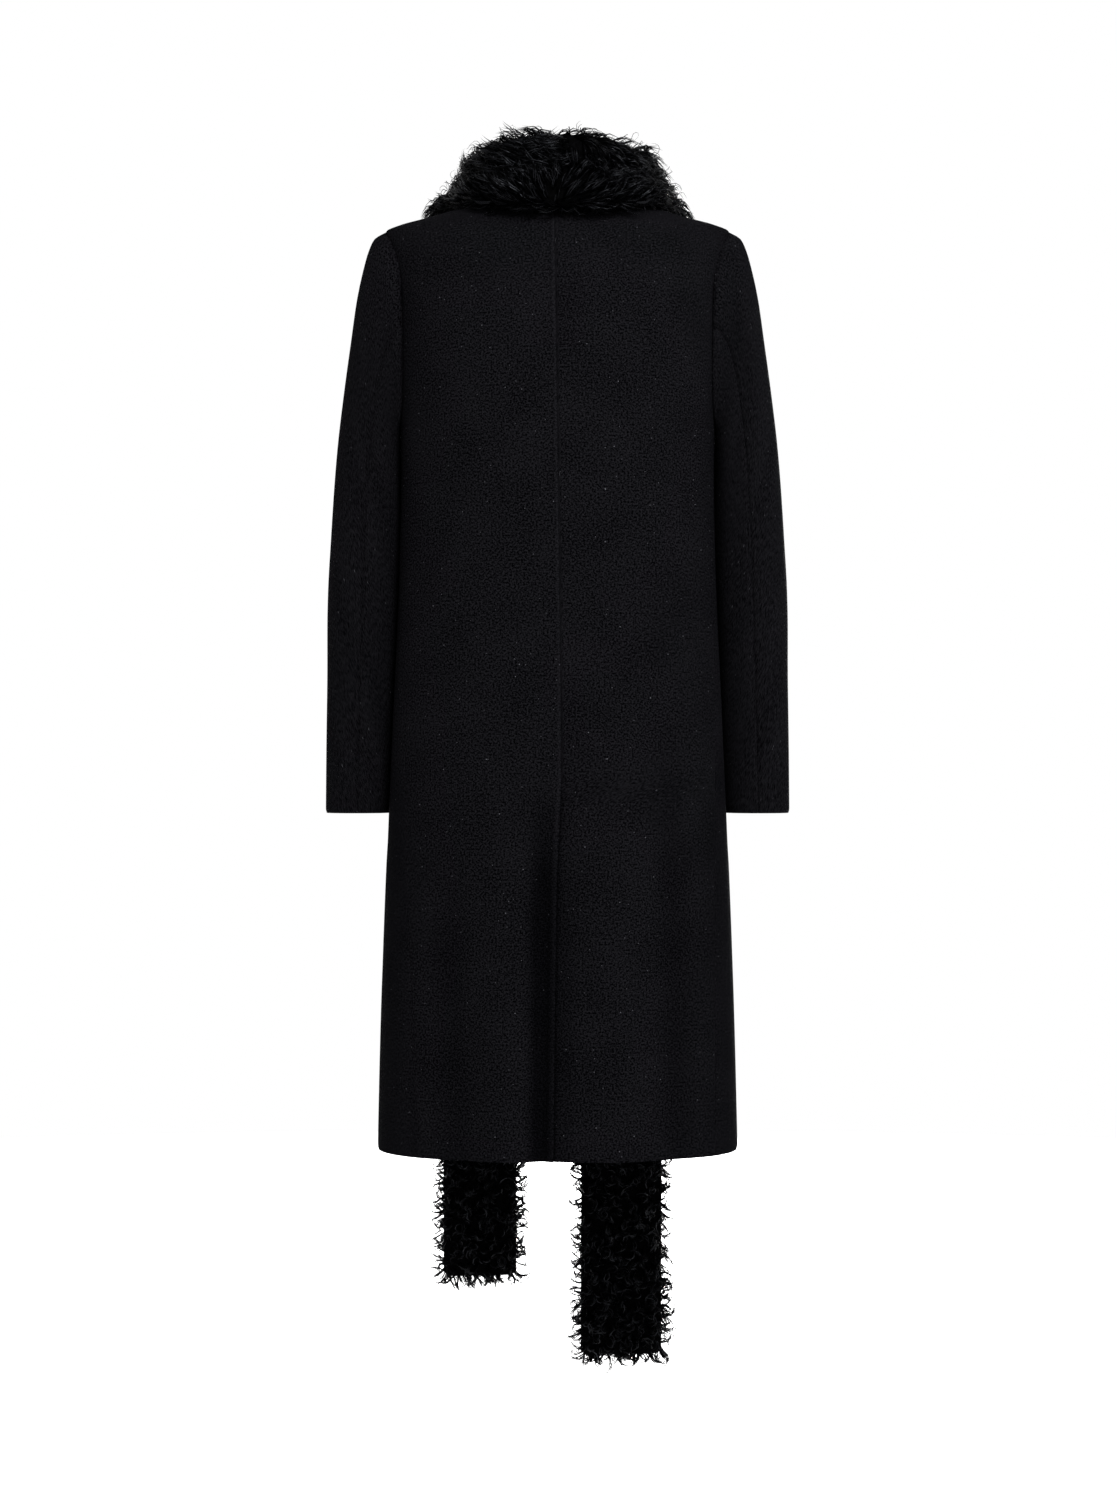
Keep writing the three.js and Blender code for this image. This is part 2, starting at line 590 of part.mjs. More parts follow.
// A closed fur band through sections, each with a middle, a direction up the band, a width and
// a thickness. The ends are rounded in where `rounded` says.
function furBand(sections, rounded) {
  const points = [];
  const faces = [];
  let along = 0;
  sections.forEach((section, i) => {
    const before = sections[Math.max(i - 1, 0)].at;
    const after = sections[Math.min(i + 1, sections.length - 1)].at;
    if (i > 0) along += section.at.distanceTo(before);
    const way = section.way || after.clone().sub(before).normalize();
    const out = section.up.clone().cross(way).normalize();
    const up = way.clone().cross(out).normalize();
    const end = (rounded.first && i === 0) || (rounded.last && i === sections.length - 1);
    const shrink = end ? 0.8 : 1;
    for (let s = 0; s < FUR_SIDES; s++) {
      const angle = (360 / FUR_SIDES) * (s + 0.5);
      const [sin, cos] = [Math.sin(angle * RAD), Math.cos(angle * RAD)];
      const square = 2 / FUR_SQUARE;
      const lock = (section.way ? 0 : lockOut(along, angle)) - LOCKS.out;
      const wide = (section.wide / 2) * shrink + lock;
      const thick = (section.thick / 2) * shrink + lock;
      const point = section.at.clone();
      point.addScaledVector(up, wide * Math.abs(cos) ** square * Math.sign(cos));
      point.addScaledVector(out, thick * Math.abs(sin) ** square * Math.sign(sin));
      points.push(point);
    }
  });
  const rows = sections.length;
  for (let r = 0; r + 1 < rows; r++) {
    for (let s = 0; s < FUR_SIDES; s++) {
      const [a, b] = [r * FUR_SIDES + s, r * FUR_SIDES + ((s + 1) % FUR_SIDES)];
      faces.push(a, b, b + FUR_SIDES, a, b + FUR_SIDES, a + FUR_SIDES);
    }
  }
  const caps = [sections[0].at, sections[rows - 1].at];
  const [first, last] = [points.length, points.length + 1];
  points.push(caps[0].clone(), caps[1].clone());
  for (let s = 0; s < FUR_SIDES; s++) {
    const next = (s + 1) % FUR_SIDES;
    const base = (rows - 1) * FUR_SIDES;
    faces.push(first, next, s, last, base + s, base + next);
  }
  return solid(points, faces);
}

// A section of the collar between the rows of its table, 0 at the centre back.
function collarSection(t, side) {
  const table = COLLAR.map((row, i) => ({
    i,
    x: row.at[0],
    y: row.at[1],
    z: row.at[2],
    ux: row.up[0],
    uy: row.up[1],
    uz: row.up[2],
    wide: row.wide,
    thick: row.thick,
  }));
  const get = (key) => read(table, "i", key, t);
  const lean = 1 - ease(t - 4);
  return {
    at: vector(get("x") * side + lean * COLLAR_LEAN.shift, get("y"), get("z")),
    up: vector(get("ux") * side + lean * COLLAR_LEAN.tilt, get("uy"), get("uz")).normalize(),
    wide: get("wide"),
    thick: get("thick"),
  };
}

// The collar, from the right collarbone round the back of the neck to the left.
function collar() {
  const sections = [];
  const last = COLLAR.length - 1;
  const steps = last * 2;
  for (let i = -steps; i <= steps; i++) {
    sections.push(collarSection((Math.abs(i) / steps) * last, Math.sign(i) || 1));
  }
  sections[0].way = collarWay(-1).negate();
  sections[sections.length - 1].way = collarWay(1);
  return furBand(sections, { first: false, last: false });
}

// The direction in which the collar's end runs on into the scarf.
function collarWay(side) {
  const last = COLLAR.length - 1;
  const way = collarSection(last, side).at.clone();
  return way.sub(collarSection(last - 0.5, side).at).normalize();
}

// One hanging end of the scarf, from the collar's end to past the hem.
function scarfEnd({ side, wide, endZ, turn }) {
  const sign = side === "left" ? 1 : -1;
  const last = collarSection(COLLAR.length - 1, sign);
  const way = collarWay(sign);
  const sections = [{ ...last, way, at: last.at.clone().addScaledVector(way, SEAM) }];
  const startZ = SCARF[0].z;
  const count = Math.round((startZ - endZ) / SCARF_STEP);
  for (let i = 0; i <= count + 1; i++) {
    const z = i > count ? endZ : mix(startZ, endZ + SCARF_TIP, i / count);
    const x = read(SCARF, "z", side, z);
    const thick = read(SCARF, "z", "thick", z);
    const twist = turn * RAD * ease((startZ - z) / 300);
    const up = vector(-sign * Math.cos(twist), -Math.sin(twist), 0);
    const settled = ease((startZ - z) / 90);
    up.lerp(last.up, 1 - settled).normalize();
    const section = { at: vector(x, 0, z), up, wide: mix(last.wide, wide, settled), thick };
    sections.push(rested(section));
  }
  return furBand(sections, { first: false, last: true });
}

// Moves a section forward from the middle of the coat until it just clears the front.
function rested(section) {
  const { at, up, wide, thick } = section;
  const z = Math.max(at.z, HEM_Z);
  const inward = vector(0, 0, 1).cross(up).normalize();
  if (inward.y < 0) inward.negate();
  let y = 0;
  for (const share of [-0.5, -0.47, -0.4, -0.25, -0.1, 0, 0.1, 0.25, 0.4, 0.47, 0.5]) {
    const corner = up.clone().multiplyScalar(wide * share);
    const depth = (1 - (2 * Math.abs(share)) ** FUR_SQUARE) ** (1 / FUR_SQUARE);
    corner.addScaledVector(inward, (thick / 2) * depth);
    const x = clamp(at.x + corner.x, -girth(z).half, girth(z).half);
    const cloth = onBody(z, frontAngle(z, x, Math.sign(x))).point.y;
    y = Math.min(y, cloth - corner.y - SCARF_CLEAR);
  }
  at.y = y;
  return section;
}

const wool = () => new THREE.MeshStandardMaterial({ color: 0x141416, roughness: 0.95, metalness: 0 });
const fur = () => new THREE.MeshStandardMaterial({ color: 0x0b0b0d, roughness: 0.6, metalness: 0 });

const coat = new THREE.Group();
function add(name, geometry, material) {
  const mesh = new THREE.Mesh(geometry, material);
  mesh.name = name;
  coat.add(mesh);
}

for (const [name, side] of [["left", 1], ["right", -1]]) {
  add("back_" + name, backPiece(side), wool());
  add("front_" + name, frontPiece(side), wool());
  add("sleeve_upper_" + name, sleevePiece(side, SLEEVE_FRONT_SEAM, SLEEVE_BACK_SEAM), wool());
  add("sleeve_under_" + name, sleevePiece(side, SLEEVE_BACK_SEAM, 360 + SLEEVE_FRONT_SEAM), wool());
}
add("collar", collar(), fur());
add("scarf_left", scarfEnd(SCARF_LEFT), fur());
add("scarf_right", scarfEnd(SCARF_RIGHT), fur());

export default coat;
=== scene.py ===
"""A long wool coat with a curled shearling scarf collar, hollow and standing as if worn.

Sizes are millimetres in the coat's own tables and metres in every mesh. The wearer faces -Y,
the coat's back faces +Y, the wearer's left is +X, and +Z is up. The origin is in the middle of
the neck opening, level with the seam at the back of the neck.
"""

import json
import logging
import math
from dataclasses import dataclass, field
from enum import Enum
from typing import Callable, Iterable, Sequence

import bmesh
import bpy
import numpy as np
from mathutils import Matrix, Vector

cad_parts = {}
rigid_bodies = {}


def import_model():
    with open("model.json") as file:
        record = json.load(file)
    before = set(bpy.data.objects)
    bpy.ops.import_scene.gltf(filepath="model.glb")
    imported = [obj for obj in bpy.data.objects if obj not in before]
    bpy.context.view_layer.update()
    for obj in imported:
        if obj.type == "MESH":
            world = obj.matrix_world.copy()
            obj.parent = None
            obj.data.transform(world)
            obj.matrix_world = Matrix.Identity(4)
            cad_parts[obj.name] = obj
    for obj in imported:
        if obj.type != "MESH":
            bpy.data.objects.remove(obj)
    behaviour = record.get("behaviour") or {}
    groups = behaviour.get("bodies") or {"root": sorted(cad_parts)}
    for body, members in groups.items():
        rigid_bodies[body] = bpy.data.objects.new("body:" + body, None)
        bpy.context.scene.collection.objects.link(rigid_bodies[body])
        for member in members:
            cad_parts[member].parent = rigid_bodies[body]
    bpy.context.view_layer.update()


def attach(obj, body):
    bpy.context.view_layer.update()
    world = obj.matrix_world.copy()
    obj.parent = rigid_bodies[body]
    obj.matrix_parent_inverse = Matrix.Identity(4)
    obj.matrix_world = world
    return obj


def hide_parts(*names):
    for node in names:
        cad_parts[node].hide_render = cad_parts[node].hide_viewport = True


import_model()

MM = 0.001
LOG = logging.getLogger("coat")

Row = tuple[float, ...]
Colour = tuple[float, float, float, float]
Points = np.ndarray
Socket = bpy.types.NodeSocket


class Side(Enum):
    """The wearer's left and right, as the sign of X."""

    LEFT = 1
    RIGHT = -1

    @property
    def word(self) -> str:
        """The word used in node and piece names."""
        return self.name.lower()


class Face(Enum):
    """The back and the front of the body, as the sign of Y."""

    BACK = 1
    FRONT = -1


class Hang(Enum):
    """How a piece of cloth is held, in the frame's words."""

    HUNG = "hung"
    DRAPED = "draped"


def smooth_table(rows: Sequence[Row], column: int, at: Points) -> Points:
    """Read a column of a table on a smooth curve that never overshoots a row.

    Args:
        rows: Rows in order of their first value.
        column: The column to read.
        at: Values of the first column to read at.

    Returns:
        The column's value at each place.
    """
    table = np.array(sorted(rows))
    key, value = table[:, 0], table[:, column]
    slope = np.diff(value) / np.diff(key)
    bend = np.zeros(len(key))
    bend[0], bend[-1] = slope[0], slope[-1]
    for i in range(1, len(key) - 1):
        before, after = slope[i - 1], slope[i]
        bend[i] = 0.0 if before * after <= 0 else 2 * before * after / (before + after)
    at = np.asarray(at, dtype=float)
    i = np.clip(np.searchsorted(key, at, side="right") - 1, 0, len(key) - 2)
    span = key[i + 1] - key[i]
    u = np.clip((at - key[i]) / span, 0, 1)
    return (
        (2 * u**3 - 3 * u**2 + 1) * value[i]
        + (u**3 - 2 * u**2 + u) * bend[i] * span
        + (3 * u**2 - 2 * u**3) * value[i + 1]
        + (u**3 - u**2) * bend[i + 1] * span
    )


def ease(t: Points) -> Points:
    """A smooth step from 0 to 1."""
    u = np.clip(t, 0, 1)
    return u * u * (3 - 2 * u)


def unit(vectors: Points) -> Points:
    """Vectors at length one, along the last axis."""
    length = np.linalg.norm(vectors, axis=-1, keepdims=True)
    return vectors / np.maximum(length, 1e-12)


def refine(values: Sequence[float], parts: int) -> Points:
    """Split each interval of a list into equal parts, with both ends kept.

    Args:
        values: Rising or falling marks.
        parts: Parts to an interval.

    Returns:
        The finer list.
    """
    values = np.asarray(values, dtype=float)
    steps = np.arange(parts) / parts
    inner = (values[:-1, None] + steps[None, :] * np.diff(values)[:, None]).ravel()
    return np.append(inner, values[-1])


def lengths(grid: Points) -> tuple[Points, Points]:
    """How far each point of a grid lies along its row, and along its column.

    Args:
        grid: Rows by columns of points.

    Returns:
        The two lengths.
    """
    across = np.linalg.norm(np.diff(grid, axis=1), axis=-1)
    along = np.linalg.norm(np.diff(grid, axis=0), axis=-1)
    u = np.concatenate([np.zeros((len(grid), 1)), np.cumsum(across, 1)], 1)
    return u, np.concatenate([np.zeros((1, grid.shape[1])), np.cumsum(along, 0)], 0)


def linked(mesh: bpy.types.Mesh) -> bpy.types.Object:
    """Shade a mesh smooth and link it to the scene under its own name.

    Args:
        mesh: The finished mesh.

    Returns:
        The object, at the origin.
    """
    mesh.polygons.foreach_set("use_smooth", np.ones(len(mesh.polygons), dtype=bool))
    mesh.update()
    piece = bpy.data.objects.new(mesh.name, mesh)
    bpy.context.scene.collection.objects.link(piece)
    return piece


@dataclass(frozen=True)
class Fold:
    """A soft vertical fold that grows down the body.

    Args:
        face: The side of the body that it is on.
        top_x: Its middle where it starts.
        low_x: Its middle at the hem.
        start_z: The height at which it starts.
        full_z: The height from which it stands out fully.
        wide: Its half width.
        out: How far it stands out of the cloth, or in where negative.
    """

    face: Face
    top_x: float
    low_x: float
    start_z: float
    full_z: float
    wide: float
    out: float

    def relief(self, x: Points, z: Points, hem_z: float) -> Points:
        """The fold's height at places on its face.

        Args:
            x: Distance across, wearer's left positive.
            z: Height.
            hem_z: Height of the hem.

        Returns:
            Heights, outwards positive.
        """
        grown = ease((self.start_z - z) / (self.start_z - self.full_z))
        t = np.clip((self.start_z - z) / (self.start_z - hem_z), 0, 1)
        middle = self.top_x + (self.low_x - self.top_x) * t
        return self.out * grown * np.exp(-(((x - middle) / self.wide) ** 2))


@dataclass(frozen=True)
class Crease:
    """A short soft crease between two places on a face of the body.

    Args:
        face: The side of the body that it is on.
        start: Its first end, as x and z.
        end: Its other end, as x and z.
        wide: Its half width.
        out: How far it stands out, or in where negative.
    """

    face: Face
    start: tuple[float, float]
    end: tuple[float, float]
    wide: float
    out: float

    def relief(self, x: Points, z: Points) -> Points:
        """The crease's height at places on its face.

        Args:
            x: Distance across, wearer's left positive.
            z: Height.

        Returns:
            Heights, outwards positive.
        """
        way = np.subtract(self.end, self.start)
        length = float(np.hypot(*way))
        along = ((x - self.start[0]) * way[0] + (z - self.start[1]) * way[1]) / length
        across = ((x - self.start[0]) * way[1] - (z - self.start[1]) * way[0]) / length
        t = along / length
        body = np.exp(-((across / self.wide) ** 2)) * np.sin(np.clip(t, 0, 1) * np.pi) ** 1.5
        return self.out * body


@dataclass
class CoatForm:
    """The coat's shape: the girth at each height, the seams' lines, laps, folds and creases."""

    hem_z: float = -1020.0
    neck_top_z: float = 7.6
    shoulder_z: float = -23.0
    armpit_z: float = -238.0
    vent_top_z: float = -618.0
    sink_z: float = -560.0
    vent_slant: float = 24.0
    cloth: float = 2.5
    # sewn edges touch, and slant under each other so that no light shows between them
    slant: float = 0.6
    under: float = 3.2
    lap_ease: float = 14.0
    front_lap: float = 35.0
    # z, half width, depth behind, depth in front, squareness
    girth: Sequence[Row] = (
        (-1020, 196, 150, 150, 2.2),
        (-860, 192, 144, 146, 2.25),
        (-660, 184.3, 135, 141, 2.35),
        (-520, 178.5, 128, 137, 2.4),
        (-400, 173.6, 124, 135, 2.45),
        (-300, 171.4, 123, 134, 2.5),
        (-238, 171, 124, 132, 2.55),
        (-160, 171.5, 124, 127, 2.6),
        (-105, 173, 118, 115, 2.5),
        (-80, 176, 111, 105, 2.4),
        (-58, 180.5, 102, 94, 2.3),
        (-39, 185, 92, 82.5, 2.2),
        (-23, 187, 81, 72, 2.1),
        (-17, 174.5, 76.5, 67.5, 2.05),
        (-9, 145, 69.5, 60, 2),
        (0, 113, 61.5, 51, 2),
        (8, 77, 55, 44, 2),
    )
    # z, how far the hanging sleeve presses the body's side in, middle y of the dent
    sleeve_dent: Sequence[Row] = (
        (-1020, 0, -28),
        (-720, 0, -28),
        (-664, 4, -27),
        (-560, 4.2, -22),
        (-420, 4.2, -14),
        (-290, 4, -12),
        (-239, 0, -12),
        (8, 0, -12),
    )
    dent_reach: float = 28.0
    # share of the half width at which the dent begins, and the share over which it deepens
    dent_from: float = 0.8
    dent_width: float = 0.15
    centre_back: Sequence[Row] = ((-1020, 4.4), (-740, 1), (-614, -3.5), (-315, -0.5), (8, 4))
    # z, share of the half width on the wearer's left, and on the right
    side_seam: Sequence[Row] = (
        (-1020, 0.745, 0.86),
        (-802, 0.83, 0.885),
        (-677, 0.87, 0.915),
        (-432, 0.965, 0.965),
        (-238, 0.9985, 0.9985),
    )
    back_neck: Sequence[Row] = ((0, 0), (4, 50), (8, 73))
    front_neck: Sequence[Row] = (
        (-190, -35),
        (-160, -18),
        (-130, 0),
        (-100, 17),
        (-70, 34),
        (-40, 51),
        (-20, 62),
        (8, 74),
    )
    # angle down from the shoulder point, x on the back, x on the front
    armhole: Sequence[Row] = (
        (0, 187, 187),
        (15, 185.6, 185.4),
        (30, 180, 178.5),
        (45, 173.8, 169),
        (60, 169.3, 161.5),
        (75, 167.4, 157),
        (90, 166.8, 154.5),
        (105, 166.6, 153.8),
        (120, 166.6, 155),
        (135, 167, 158),
        (150, 168.2, 163),
        (165, 169.8, 168.5),
        (180, 170.7, 170.7),
    )
    folds: Sequence[Fold] = (
        Fold(Face.BACK, 15, 18, -570, -770, 15, -11),
        Fold(Face.BACK, 62, 56, -700, -960, 22, 5.5),
        Fold(Face.BACK, -50, -62, -500, -880, 29, 8),
        Fold(Face.BACK, -8, -12, -620, -800, 13, -4),
        Fold(Face.BACK, -114, -130, -440, -760, 22, -4.5),
        Fold(Face.BACK, 116, 108, -560, -900, 24, -4.5),
        Fold(Face.FRONT, 70, 96, -320, -860, 30, 5),
        Fold(Face.FRONT, -66, -88, -300, -900, 32, 5.5),
        Fold(Face.FRONT, 118, 146, -420, -900, 26, -4.5),
        Fold(Face.FRONT, -120, -140, -460, -920, 26, -4),
        Fold(Face.FRONT, -20, -34, -380, -940, 24, -3.5),
    )
    creases: Sequence[Crease] = (
        Crease(Face.BACK, (152, -232), (96, -150), 11, -1.6),
        Crease(Face.BACK, (150, -262), (70, -236), 14, -1.2),
        Crease(Face.BACK, (-154, -226), (-92, -160), 12, -1.7),
        Crease(Face.BACK, (-152, -270), (-60, -232), 13, -1.1),
        Crease(Face.BACK, (-120, -40), (-60, -96), 16, -1.0),
        Crease(Face.BACK, (124, -42), (66, -90), 15, -1.1),
        Crease(Face.BACK, (134, -430), (52, -486), 18, 1.3),
        Crease(Face.BACK, (-140, -402), (-44, -452), 17, 1.2),
        Crease(Face.BACK, (-150, -470), (-66, -520), 16, -1.2),
        Crease(Face.BACK, (28, -560), (70, -720), 16, -1.6),
        Crease(Face.BACK, (-26, -640), (-42, -900), 12, 1.3),
        Crease(Face.BACK, (92, -820), (74, -1010), 14, 1.6),
        Crease(Face.BACK, (42, -880), (46, -930), 10, 1.2),
        Crease(Face.FRONT, (140, -232), (80, -182), 12, -1.7),
        Crease(Face.FRONT, (-142, -226), (-78, -190), 12, -1.6),
        Crease(Face.FRONT, (136, -290), (40, -330), 16, -1.3),
        Crease(Face.FRONT, (-134, -300), (-30, -352), 16, -1.4),
        Crease(Face.FRONT, (20, -420), (90, -520), 17, 1.4),
        Crease(Face.FRONT, (-10, -470), (-96, -560), 16, 1.3),
        Crease(Face.FRONT, (12, -640), (40, -900), 13, -1.6),
        Crease(Face.FRONT, (150, -560), (126, -820), 15, 1.6),
        Crease(Face.FRONT, (-150, -600), (-122, -860), 15, 1.5),
    )

    def section(self, z: Points) -> tuple[Points, Points, Points, Points]:
        """Half width, depth behind, depth in front and squareness at heights."""
        return tuple(smooth_table(self.girth, i, z) for i in range(1, 5))

    def relief(self, x: Points, z: Points, face: Points) -> Points:
        """How far folds and creases stand out of the plain surface.

        Args:
            x: Places across.
            z: Places in height.
            face: 1 on the back and -1 on the front.

        Returns:
            The height above the plain cloth.
        """
        out = np.zeros(np.broadcast(x, z).shape)
        for one in (Face.BACK, Face.FRONT):
            here = np.zeros_like(out)
            for fold in self.folds:
                if fold.face is one:
                    here += fold.relief(x, z, self.hem_z)
            for crease in self.creases:
                if crease.face is one:
                    here += crease.relief(x, z)
            out = np.where(face == one.value, here, out)
        return out

    def surface(self, z: Points, angle: Points, out: Points = 0.0) -> tuple[Points, Points]:
        """Points on the coat and the directions out of the cloth there.

        Args:
            z: Heights.
            angle: Degrees round from the centre back, towards the wearer's left.
            out: How far to stand off the cloth.

        Returns:
            The points and the outward normals, in millimetres.
        """
        z, angle, out = np.broadcast_arrays(np.asarray(z, float), np.asarray(angle, float), out)
        half, back, front, square = self.section(z)
        slopes = [(hi - lo) / 2 for hi, lo in zip(self.section(z + 1), self.section(z - 1))]
        sin, cos = np.sin(np.radians(angle)), np.cos(np.radians(angle))
        face = np.where(cos >= 0, 1.0, -1.0)
        depth = np.where(face > 0, back, front)
        depth_slope = np.where(face > 0, slopes[1], slopes[2])
        across = np.abs(sin) ** (2 / square)
        along = np.abs(cos) ** (2 / square)
        point = np.stack([half * across * np.sign(sin), depth * along * face, z], -1)
        normal = unit(
            np.stack(
                [
                    across ** (square - 1) * np.sign(sin) / half,
                    along ** (square - 1) * face / depth,
                    -(across**square * slopes[0] / half + along**square * depth_slope / depth),
                ],
                -1,
            )
        )
        dent, middle = (smooth_table(self.sleeve_dent, i, z) for i in (1, 2))
        beside = ease((np.abs(point[..., 0]) / half - self.dent_from) / self.dent_width)
        dent = dent * beside * np.exp(-(((point[..., 1] - middle) / self.dent_reach) ** 2))
        lift = out + self.relief(point[..., 0], z, face) - dent
        return point + normal * lift[..., None], normal

    def angle_at(self, z: Points, x: Points, face: Face) -> Points:
        """The angle on a face at which the coat has a given x.

        Args:
            z: Height.
            x: Distance across, wearer's left positive.
            face: The back or the front.

        Returns:
            Degrees from the face's middle.
        """
        half, _, _, square = self.section(z)
        turn = np.degrees(np.arcsin(np.clip(np.abs(x) / half, 0, 1) ** (square / 2)))
        return np.where(x < 0, -1.0, 1.0) * (turn if face is Face.BACK else 180 - turn)

    def front_angle(self, z: Points, x: Points, side: Side) -> Points:
        """The angle on the front for an x that may lie past the centre front."""
        angle = self.angle_at(z, x, Face.FRONT)
        return np.where(side.value * angle < 0, angle + side.value * 360, angle)

    def armhole_z(self, angle: Points) -> Points:
        """The height of the armhole's edge at an angle down from the shoulder point."""
        middle = (self.shoulder_z + self.armpit_z) / 2
        return middle + (self.shoulder_z - middle) * np.cos(np.radians(angle))

    def armhole_edge(self, angle: Points) -> tuple[Points, Points]:
        """The body's edge at the armhole on the wearer's left: behind for a positive angle.

        Args:
            angle: Degrees round the arm.

        Returns:
            The outer edge and the inner one.
        """
        angle = np.asarray(angle, float)
        z = self.armhole_z(angle)
        size = np.abs(angle)
        back = self.angle_at(z, smooth_table(self.armhole, 1, size), Face.BACK)
        front = self.angle_at(z, smooth_table(self.armhole, 2, size), Face.FRONT)
        around = np.where(angle >= 0, back, front)
        around = np.where(size < 1e-6, 90.0, np.where(size > 180 - 1e-6, back, around))
        return self.surface(z, around)


@dataclass
class SleeveForm:
    """The shape of a set-in sleeve for the wearer's left arm."""

    body: CoatForm
    # share down, outer x and z, inner x and z, middle y, half depth, armhole kept, tuck
    rings: Sequence[Row] = (
        (0, 187, -23, 170.7, -238, -12, 57, 1, 0),
        (1, 199.5, -30.5, 171.4, -239.5, -12, 58, 0.86, 1.5),
        (2, 206, -43.5, 171.5, -243, -12, 59.5, 0.7, 3.5),
        (3, 211.2, -61, 171.2, -248, -12, 61.5, 0.52, 5.5),
        (4, 218.6, -94, 170.7, -257, -12, 63.5, 0.32, 6),
        (5, 226, -145, 169.8, -273, -12, 65.5, 0.14, 4),
        (6, 233.5, -200, 169.2, -297, -12, 66.5, 0.04, 2),
        (7, 240.5, -260, 168.6, -330, -12, 66, 0, 0),
        (8, 245.5, -325, 169.5, -370, -13, 65, 0, 0),
        (9, 248.8, -392, 170.7, -414, -14.5, 63, 0, 0),
        (10, 250.8, -458, 172.8, -467, -17, 60.5, 0, 0),
        (11, 252.3, -525, 175.6, -528, -21, 57.5, 0, 0),
        (12, 253.4, -590, 178.2, -590.6, -24.5, 54.5, 0, 0),
        (13, 254.2, -655.6, 181, -655.6, -28, 52, 0, 0),
    )
    square: float = 2.25
    tuck_angle: float = 100.0
    tuck_spread: float = 34.0
    back_seam: float = 90.0
    front_seam: float = -75.0
    # start and end down the sleeve, angle at each, half width in degrees, height
    folds: Sequence[Row] = (
        (0.12, 0.5, 20, 88, 17, 2.6),
        (0.2, 0.62, 58, 118, 16, -2.6),
        (0.5, 0.85, -60, 20, 22, 2.4),
        (0.3, 0.75, -40, -110, 20, -2.6),
    )
    creases: Sequence[Row] = (
        (0.42, 0.58, -96, -40, 9, -1.8),
        (0.5, 0.66, -110, -52, 9, -1.6),
        (0.58, 0.74, -100, -30, 10, -1.4),
        (0.08, 0.3, 44, 74, 9, -1.3),
        (0.1, 0.36, -30, -62, 11, -1.4),
        (0.66, 0.96, 60, 20, 13, 1.2),
        (0.7, 0.98, 110, 140, 13, -1.3),
        (0.34, 0.6, 150, 178, 12, -1.2),
    )

    def point(self, ring: Points, angle: Points) -> Points:
        """Points of the sleeve's surface.

        Args:
            ring: Place down the sleeve, 0 at the armhole and 13 at the cuff.
            angle: Degrees round: 0 is the outer edge and 90 the back.

        Returns:
            The points, in millimetres.
        """
        ring, angle = np.broadcast_arrays(np.asarray(ring, float), np.asarray(angle, float))
        out_x, out_z, in_x, in_z, mid_y, deep, keep, tuck = (
            smooth_table(self.rings, i, ring) for i in range(1, 9)
        )
        sin, cos = np.sin(np.radians(angle)), np.cos(np.radians(angle))
        power = 1 + (2 / self.square - 1) * np.clip(ring, 0, 1)
        share = 0.5 + 0.5 * np.abs(cos) ** power * np.sign(cos)
        point = np.stack(
            [
                in_x + (out_x - in_x) * share,
                mid_y + deep * np.abs(sin) ** power * np.sign(sin),
                in_z + (out_z - in_z) * share,
            ],
            -1,
        )
        middle = np.stack([(in_x + out_x) / 2, mid_y, (in_z + out_z) / 2], -1)
        outward = unit(point - middle)
        down = ring / (len(self.rings) - 1)
        lift = np.zeros_like(down)
        for start, end, first, last, wide, out in (*self.folds, *self.creases):
            t = (down - start) / (end - start)
            away = angle - (first + (last - first) * t)
            away = (away + 180) % 360 - 180
            grown = np.sin(np.clip(t, 0, 1) * np.pi) ** 2
            lift += out * grown * np.exp(-((away / wide) ** 2))
        point = point + outward * lift[..., None]
        gap = (angle - self.tuck_angle + 180) % 360 - 180
        point[..., 1] -= tuck * np.exp(-((gap / self.tuck_spread) ** 2))
        edge = self.body.armhole_edge(angle)[0]
        return point + (edge - self.plain_armhole(angle)) * keep[..., None]

    def plain_armhole(self, angle: Points) -> Points:
        """The armhole if it were a plain ellipse, which the true one is measured from.

        Args:
            angle: Degrees round the arm.

        Returns:
            Points.
        """
        _, out_x, out_z, in_x, in_z, mid_y, deep, _, _ = self.rings[0]
        share = 0.5 + 0.5 * np.cos(np.radians(angle))
        sin = np.sin(np.radians(angle))
        x, z = in_x + (out_x - in_x) * share, in_z + (out_z - in_z) * share
        return np.stack([x, mid_y + deep * sin, z], -1)


